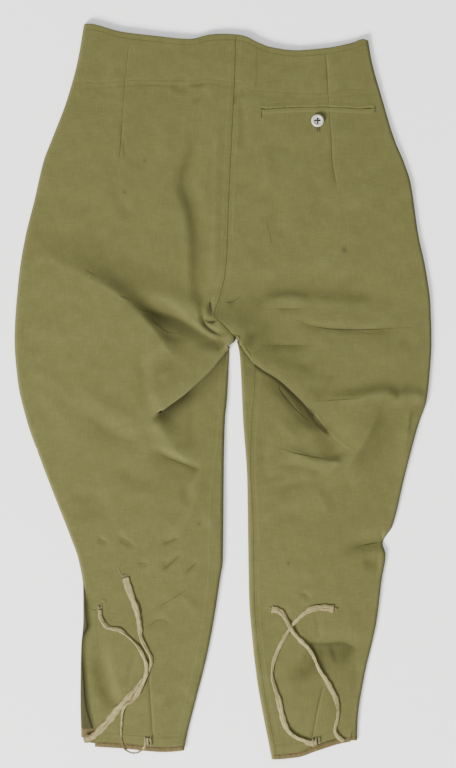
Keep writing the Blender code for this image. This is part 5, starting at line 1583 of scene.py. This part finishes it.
TAPE_RIGHT_SEAM = (
    (142, 749, 8.3), (130, 747, 8.3), (117, 748, 7.6), (106, 753, 6.2), (97, 761, 4.4), (88, 771, 3.2),
    (80, 784, 3.6), (73, 797, 4.6), (67, 811, 5), (64, 824, 3.4), (64, 838, 2.8), (68, 852, 4.4),
    (72, 866, 6.4), (75, 881, 7.6), (79, 896, 7.2), (85, 906, 5.2), (94, 913, 3.8), (104, 917, 4.6),
    (112, 920.5, 7.6), (121, 920, 9.4),
)
ARC_OPENINGS = np.linspace(0.02, math.pi / 2, 60)
ARC_SPANS = np.sin(ARC_OPENINGS) / ARC_OPENINGS
MOST_OPENING = 2.9
PRESSED = 0.28
MOST_SPAN = 0.995
TAPE_EDGE = np.linspace(-1, 1, 19)
TAPE_WALL, TAPE_LIES = 0.45, 0.55
# Past a hem the tape lies on nothing, and it comes down from this level
HEM_NEAR, HEM_LEVEL = 7, 5.0
SAGS = 14
CROSSING_CLEAR, CROSSING_REACH = 0.5, 7.5
# How a tape is crumpled, as waves along it. Pinches make it narrower: (share, pace, whether the tilt
# shifts it, start). Grooves run along it: (place beside the drift, depth)
LEAN_PACE, LEAN_START = 9.0, 0.6
DRIFTS = ((0.45, 13.0), (0.2, 37.0))
PINCHES = ((0.10, 61, True, 0), (0.07, 143, False, 1))
GROOVES, GROOVE_WIDE = ((0.0, 0.38), (-0.62, 0.30)), 0.10
FRILL, FRILL_PACE, FRILL_TWIST = 0.28, 97, 1.7
RIPPLE, RIPPLE_PACE, RIPPLE_TWIST = 0.10, 210, 2.0
CURL, CURL_PACE, CURL_TWIST = 0.22, 118, 2.4


def tape_section(seen):
    """Half opening and radius of the arc that is as long as the tape and looks as wide as seen."""
    span = seen / TAPE_FULL
    shallow = np.interp(-np.clip(span, ARC_SPANS[-1], MOST_SPAN), -ARC_SPANS, ARC_OPENINGS)
    rolled = np.minimum(TAPE_FULL / seen, MOST_OPENING)
    opening = np.where(span > ARC_SPANS[-1], shallow, rolled)
    radius = np.where(span > ARC_SPANS[-1], TAPE_FULL / 2 / shallow, seen / 2)
    return opening, radius


def tape_line(leg, route, over=None):
    """The tape's route in fine steps: place, seen width, level of what it lies on, and its side."""
    places = np.array(route, dtype=float)
    path = smooth_path(places[:, :2], TAPE_STEPS)
    seen = np.interp(np.linspace(0, 1, len(path)), np.linspace(0, 1, len(places)), places[:, 2])
    heading = np.gradient(path, axis=0)
    heading /= np.hypot(heading[:, 0], heading[:, 1])[:, None]
    side = np.stack([heading[:, 1], -heading[:, 0]], axis=1)
    reach = [leg.height(*(path + lane * side * seen[:, None] / 2).T, True, fine=False)
             for lane in (-1, 0, 1)]
    level = np.max(reach, axis=0)
    past_hem = path[:, 1] > leg.hem(path[:, 0]) - HEM_NEAR
    level = np.maximum(level, np.where(past_hem, HEM_LEVEL, level))
    for _ in range(SAGS):
        level[1:-1] = np.maximum(level[1:-1], (level[:-2] + level[1:-1] + level[2:]) / 3)
    level += TAPE_LIES
    if over is not None:
        away = np.hypot(path[:, None, 0] - over[0][None, :, 0], path[:, None, 1] - over[0][None, :, 1])
        near = away.argmin(axis=1)
        top = over[1][near] + over[2][near] + CROSSING_CLEAR
        share = np.exp(-(away.min(axis=1) / CROSSING_REACH) ** 2)
        level = np.maximum(level, level + share * (top - level))
    return path, seen, level, side


def lay_tape(name, node, leg, route, tilt, over=None):
    """One calf tape as a limp band. Gives back its line, its length, and what a tape over it needs."""
    path, seen, level, side = tape_line(leg, route, over)
    opening, radius = tape_section(seen)
    rise = radius * (1 - np.cos(opening)) * PRESSED
    turns = np.linspace(0, 1, len(path))
    lean = np.radians(tilt) * np.sin(turns * LEAN_PACE + LEAN_START) * (1 - seen / TAPE_FULL)
    drift = DRIFTS[0][0] * np.sin(turns * DRIFTS[0][1] + tilt) + DRIFTS[1][0] * np.sin(turns * DRIFTS[1][1])
    edge = np.abs(TAPE_EDGE)
    grid = []
    for k, turn in enumerate(turns):
        bend = TAPE_EDGE * opening[k]
        pinch = 1 + sum(share * math.sin(turn * pace + (tilt if tilted else 0) + start)
                        for share, pace, tilted, start in PINCHES)
        frill = edge ** 3 * np.sin(turn * FRILL_PACE + FRILL_TWIST * np.sign(TAPE_EDGE) + tilt)
        over_side = radius[k] * np.sin(bend) * pinch + FRILL * frill
        up = radius[k] * (np.cos(bend) - math.cos(opening[k])) * PRESSED
        for beside_drift, depth in GROOVES:
            up = up - depth * np.exp(-((TAPE_EDGE - drift[k] - beside_drift) / GROOVE_WIDE) ** 2)
        up = up + RIPPLE * np.sin(turn * RIPPLE_PACE + TAPE_EDGE * RIPPLE_TWIST) * (1 - TAPE_EDGE ** 2)
        up = up + CURL * edge ** 2 * np.sin(turn * CURL_PACE + CURL_TWIST * TAPE_EDGE + tilt)
        across = over_side * math.cos(lean[k]) - (up - rise[k] / 2) * math.sin(lean[k])
        raised = np.maximum(up * math.cos(lean[k]) + over_side * math.sin(lean[k]), 0.0)
        grid.append(points_at(path[k, 0] + side[k, 0] * across, path[k, 1] + side[k, 1] * across,
                              level[k] + raised))
    mesh = grid_mesh(name, np.array(grid))
    centres = points_at(*path.T, level + rise / 2)
    run = np.concatenate([[0], np.cumsum(np.linalg.norm(np.diff(centres, axis=0), axis=1))])
    map_cloth(mesh, *np.broadcast_arrays(run[:, None], TAPE_EDGE * TAPE_FULL / 2))
    # The tape's edges, for painted shade in the finish
    store(mesh, "painted_edge_shade", np.repeat(edge[None, :] ** 3, len(path), axis=0))
    thing = shell(name, mesh, TAPE_WALL, LINEN, node, 1.0)
    line = world(centres)
    long = float(np.linalg.norm(np.diff(line, axis=0), axis=1).sum())
    print("%s: %.0f mm long" % (name, long / MM))
    return thing, line, long, (path, level, rise)


TAPES = {}
TAPES["left_vent"] = lay_tape("tape_left_vent_linen", "tape_left_vent", LEFT, TAPE_LEFT_VENT, 30)
TAPES["left_seam"] = lay_tape("tape_left_seam_linen", "tape_left_seam", LEFT, TAPE_LEFT_SEAM, -34,
                              TAPES["left_vent"][3])
TAPES["right_seam"] = lay_tape("tape_right_seam_linen", "tape_right_seam", RIGHT, TAPE_RIGHT_SEAM, 32)
TAPES["right_vent"] = lay_tape("tape_right_vent_linen", "tape_right_vent", RIGHT, TAPE_RIGHT_VENT, -30,
                               TAPES["right_seam"][3])

# %% [markdown]
# ## Stitches
# A machine stitch is a short length of thread that dips into the cloth at both ends. One node tree
# sews them all: it walks a line at the stitch's spacing, sets a slim grain of thread along the line at
# each step, and varies each a little, because no two stitches pull alike.

# %% The sewing tree
GRAIN_FACES = 6, 5
UNEVEN_STITCHES = 0.82, 1.12


def sewing_tree():
    """Geometry nodes that turn a line into a row of stitches."""
    tree = bpy.data.node_groups.new("row of stitches", "GeometryNodeTree")
    face = tree.interface
    face.new_socket("Geometry", in_out="INPUT", socket_type="NodeSocketGeometry")
    sizes = {}
    for name, kind in (("Spacing", "NodeSocketFloat"), ("Stitch length", "NodeSocketFloat"),
                       ("Thread radius", "NodeSocketFloat"), ("Turn across", "NodeSocketFloat"),
                       ("Seed", "NodeSocketInt"), ("Thread", "NodeSocketMaterial")):
        sizes[name] = face.new_socket(name, in_out="INPUT", socket_type=kind).identifier
    face.new_socket("Geometry", in_out="OUTPUT", socket_type="NodeSocketGeometry")

    def step(kind, *wires):
        """A node whose inputs are wired from (input, socket) pairs."""
        node = tree.nodes.new(kind)
        for place, socket in wires:
            tree.links.new(socket, node.inputs[place])
        return node

    given = step("NodeGroupInput").outputs
    line = step("GeometryNodeMeshToCurve", (0, given["Geometry"]))
    steps = step("GeometryNodeResampleCurve", ("Curve", line.outputs[0]))
    steps.mode = "LENGTH"
    tree.links.new(given["Spacing"], steps.inputs["Length"])
    grain = step("GeometryNodeMeshUVSphere")
    grain.inputs["Segments"].default_value, grain.inputs["Rings"].default_value = GRAIN_FACES
    grain.inputs["Radius"].default_value = 1.0
    half = math_node(tree, "MULTIPLY", given["Stitch length"], 0.5)
    size = step("ShaderNodeCombineXYZ", (0, half), (1, given["Thread radius"]), (2, given["Thread radius"]))
    shaped = step("GeometryNodeTransform", ("Geometry", grain.outputs["Mesh"]), ("Scale", size.outputs[0]))
    heading = step("GeometryNodeInputTangent")
    aim = step("FunctionNodeAlignRotationToVector", ("Vector", heading.outputs[0]))
    aim.axis = "X"
    quarter = step("ShaderNodeCombineXYZ", (2, given["Turn across"]))
    turned = step("FunctionNodeRotateRotation", (0, aim.outputs[0]), (1, quarter.outputs[0]))
    turned.rotation_space = "LOCAL"
    vary = step("FunctionNodeRandomValue", ("Seed", given["Seed"]))
    vary.data_type = "FLOAT"
    floats = [s for s in vary.inputs if s.type == "VALUE"]
    floats[0].default_value, floats[1].default_value = UNEVEN_STITCHES
    uneven = [s for s in vary.outputs if s.type == "VALUE"][0]
    sewn = step("GeometryNodeInstanceOnPoints", ("Points", steps.outputs[0]), ("Instance", shaped.outputs[0]),
                ("Rotation", turned.outputs[0]), ("Scale", uneven))
    real = step("GeometryNodeRealizeInstances", (0, sewn.outputs[0]))
    soft = step("GeometryNodeSetShadeSmooth", (0, real.outputs[0]))
    dyed = step("GeometryNodeSetMaterial", ("Geometry", soft.outputs[0]), ("Material", given["Thread"]))
    step("NodeGroupOutput", (0, dyed.outputs[0]))
    return tree, sizes


SEWING, SEWING_SOCKETS = sewing_tree()


def sew(name, runs, thread, spacing=2.9, length=2.2, radius=0.24, across=0.0, seed=1):
    """Stitch along one or more lines of (across, down, height) points."""
    points, edges = [], []
    for run in runs:
        start = len(points)
        points.extend(world(run).tolist())
        edges.extend((k, k + 1) for k in range(start, len(points) - 1))
    mesh = bpy.data.meshes.new(name + "_line")
    mesh.from_pydata(points, edges, [])
    line = add_object(name + "_line", mesh)
    rows = line.modifiers.new("stitches", "NODES")
    rows.node_group = SEWING
    values = {"Spacing": spacing * MM, "Stitch length": length * MM, "Thread radius": radius * MM,
              "Turn across": across, "Seed": seed, "Thread": thread}
    for label, value in values.items():
        rows[SEWING_SOCKETS[label]] = value
    thing = add_object(name, made_mesh(line, name))
    if not thing.data.materials:
        thing.data.materials.append(thread)
    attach(thing, "root")
    return thing


def on_cloth(leg, across, down, below=False, lift=0.12):
    """Points that lie on the cloth."""
    return points_at(across, down, leg.height(across, down, below) + lift)


# %% Sew the waist, the facing and the hems
# How far the rows lie from each other and from the hems
SECOND_FACING, HEM_ROW, BINDING_ROW, ON_BINDING = 6.8, 18.0, 5.0, 0.62
VENT_ROW = 3.2


def reach(first, last, step=1.5):
    """Even places from first to last."""
    return np.linspace(first, last, max(2, int(abs(last - first) / step)))


def sew_leg(leg, side, waist_ends, hem_ends, second_facing):
    """All the long rows of one leg."""
    span = reach(*waist_ends)
    sew("stitches_waist_" + side, [on_cloth(leg, span, WAIST(span) + WAIST_ROW)], KHAKI_THREAD, seed=3)
    lines = [on_cloth(leg, span, FACING_EDGE(span))]
    if second_facing:
        lines.append(on_cloth(leg, span, FACING_EDGE(span) + SECOND_FACING))
    sew("stitches_facing_" + side, lines, KHAKI_THREAD, seed=5)
    hem = reach(*hem_ends)
    sew("stitches_hem_" + side, [on_cloth(leg, hem, leg.hem(hem) - HEM_ROW, True)], KHAKI_THREAD, seed=7)
    sew("stitches_binding_" + side, [on_cloth(leg, hem, leg.hem(hem) - BINDING_ROW, True, ON_BINDING)],
        BROWN_THREAD, seed=9)


sew_leg(LEFT, "left", (-175.0, 14.0), (-159.0, -54.0), True)
sew_leg(RIGHT, "right", (21.0, 183.0), (67.0, 160.0), False)
specks = reach(-120.0, -93.0)
sew("stitches_facing_pale", [on_cloth(LEFT, specks, FACING_EDGE(specks) + 0.4, lift=0.25)], PALE_THREAD,
    spacing=3.6, length=1.6, radius=0.34, seed=11)
vent_down = reach(760.0, 905.0)
vent_across = curve(LEFT_VENT_EDGE)(vent_down) + VENT_ROW
sew("stitches_vent_left", [on_cloth(LEFT, vent_across, vent_down, True)], KHAKI_THREAD, seed=13)

# %% Sew the pocket, the button and the tapes' ends
CROSSWISE = math.pi / 2
BAR_LEFT, BAR_RIGHT, HOLE_SIDES_ACROSS = 49.3, 194.6, (120.9, 123.6)
bar = reach(108.5, 120.5, 1.0)
sew("stitches_pocket_bar", [on_cloth(RIGHT, BAR_LEFT, bar, lift=0.35),
                            on_cloth(RIGHT, BAR_RIGHT, bar[:7] - 2.5, lift=0.35)], KHAKI_THREAD,
    spacing=0.75, length=2.2, radius=0.3, across=CROSSWISE, seed=17)
hole = reach(132.6, 137.6, 0.8)
sew("stitches_buttonhole", [on_cloth(RIGHT, side, hole, lift=0.2) for side in HOLE_SIDES_ACROSS],
    BROWN_THREAD, spacing=0.62, length=2.6, radius=0.3, across=CROSSWISE, seed=19)
# The cross's two lower arms run across and the two upper ones down. Each dips into a hole at its ends
ARM, ARM_FLAT, ARM_DIP, ARM_CROWNS, ARM_SIDES = 3.5, 1.6, -0.5, (0.25, 0.6), (-0.45, 0.45)
CROSS_RISE = 2.2
top = button_level() + CROSS_RISE
cross = []
for turned, crown in enumerate(ARM_CROWNS):
    for off in ARM_SIDES:
        arm = []
        for along, rise in ((-ARM, ARM_DIP), (-ARM_FLAT, crown), (ARM_FLAT, crown), (ARM, ARM_DIP)):
            across, down = (off, along) if turned else (along, off)
            arm.append((BUTTON_ACROSS + across, BUTTON_DOWN + down, top + rise))
        cross.append(arm)
sew("stitches_button", cross, GREY_THREAD, spacing=0.7, length=1.6, radius=0.5, seed=21)


def tape_block(name, leg, places, heading, long, lift, seed):
    """Bars of thread that hold a tape's end."""
    step = np.linspace(-long / 2, long / 2, 8)
    runs = [on_cloth(leg, across + step * heading[0], down + step * heading[1], True, lift)
            for across, down in places]
    sew(name, runs, PALE_THREAD, spacing=0.7, length=1.7, radius=0.42, across=CROSSWISE, seed=seed)


tape_block("stitches_tape_left", LEFT, ((-98.8, 919.3), (-95.3, 919.0), (-91.8, 918.7)), (0.05, 1.0),
           10.5, 1.5, 23)
tape_block("stitches_tape_right", RIGHT, ((115.8, 918.6), (119.7, 918.0), (123.5, 917.2)), (0.1, 1.0),
           7.0, 1.6, 25)

# %% [markdown]
# ## Frayed ends and loose threads
# Cut linen frays, and a few pale threads hang from the ends of the two left tapes.

# %% Loose threads
def loose_threads(name, runs, finish, radius):
    """Thin round threads along given lines, as one plain mesh."""
    data = bpy.data.curves.new(name + "_line", "CURVE")
    data.dimensions, data.bevel_depth, data.bevel_resolution = "3D", radius * MM, 1
    for run in runs:
        points = world(smooth_path(run))
        spline = data.splines.new("POLY")
        spline.points.add(len(points) - 1)
        spline.points.foreach_set("co", np.concatenate([points, np.ones((len(points), 1))], axis=1).ravel())
    line = add_object(name + "_line", data)
    mesh = made_mesh(line, name)
    mesh.materials.clear()
    finish_piece(add_object(name, mesh), finish, None)


FRAY_WIDE = 4.6


def fray(place, heading, level, count, seed):
    """Short threads that fan out of a cut end."""
    hand = np.random.default_rng(seed)
    place, heading = np.array(place), np.array(heading)
    side = np.array((-heading[1], heading[0]))
    runs = []
    for k in range(count):
        start = place + side * (k / (count - 1) - 0.5) * FRAY_WIDE
        long, bend = hand.uniform(2.0, 5.0), hand.uniform(-1.6, 1.6)
        fan = heading * long + side * bend
        runs.append([(*start, level), (*(start + fan / 2), level + 0.3), (*(start + fan), level - 0.2)])
    return runs


left_level = float(LEFT.height(-120, 700, True)) + 0.5
seam_level = float(LEFT.height(-157, 750, True)) + 0.5
runs = fray((-125.5, 707.5), (-0.3, -0.95), left_level, 7, 5)
runs += fray((-157.5, 748.5), (-0.2, -0.98), seam_level + 0.6, 8, 6)
runs += [[(-131, 692, left_level), (-133, 699, left_level + 0.2), (-130, 706, left_level + 0.4)],
         [(-158, 749, seam_level + 0.6), (-164, 752, seam_level), (-171, 749.5, seam_level - 0.1)],
         [(-156, 746, seam_level + 0.6), (-151, 741, seam_level + 1.2), (-155, 738, seam_level + 0.8)]]
right_level = float(RIGHT.height(66, 750, True)) + 0.7
runs += fray((63.0, 749.5), (-1.0, 0.0), right_level, 5, 7)
runs += fray((143.5, 749.2), (1.0, 0.1), float(RIGHT.height(142, 749, True)) + 0.7, 6, 8)
loose_threads("tape_threads", runs, PALE_THREAD, 0.16)
print("threads:", len(runs))

# %% [markdown]
# ## Studio
# A large soft light comes low from the hems' left, so each fold has a lit side and a shaded one. A
# wide overhead light and a pale room fill the shade.

# %% Floor and lights
FLOOR_HALF = 6.0


def stage_floor():
    """A plain pale floor."""
    finish, tree, shader = new_finish("pale floor", 0.9)
    shader.inputs["Base Color"].default_value = (0.92, 0.92, 0.915, 1.0)
    shader.inputs["Specular IOR Level"].default_value = 0.05
    mesh = bpy.data.meshes.new("floor")
    mesh.from_pydata([(x * FLOOR_HALF, y * FLOOR_HALF, 0) for x, y in ((-1, -1), (1, -1), (1, 1), (-1, 1))],
                     [], [(0, 1, 2, 3)])
    mesh.materials.append(finish)
    add_object("floor", mesh)


def soft_light(name, place, aim, size, watts, colour=(1, 1, 1)):
    """A square soft light aimed at a point."""
    data = bpy.data.lights.new(name, "AREA")
    data.shape, data.size, data.energy, data.color = "SQUARE", size, watts, colour
    thing = bpy.data.objects.new(name, data)
    thing.location = place
    thing.rotation_euler = (Vector(aim) - Vector(place)).to_track_quat("-Z", "Y").to_euler()
    bpy.context.scene.collection.objects.link(thing)


stage_floor()
soft_light("low soft light", (-4.4, -5.2, 3.3), (0, 0, 0), 2.2, 2350.0, (1.0, 0.985, 0.96))
soft_light("overhead soft light", (0.3, 0.4, 3.2), (0, 0, 0), 2.4, 43.0)
room = bpy.data.worlds.new("pale room")
room.use_nodes = True
room.node_tree.nodes["Background"].inputs["Color"].default_value = (0.95, 0.97, 1.0, 1.0)
room.node_tree.nodes["Background"].inputs["Strength"].default_value = 0.72
bpy.context.scene.world = room
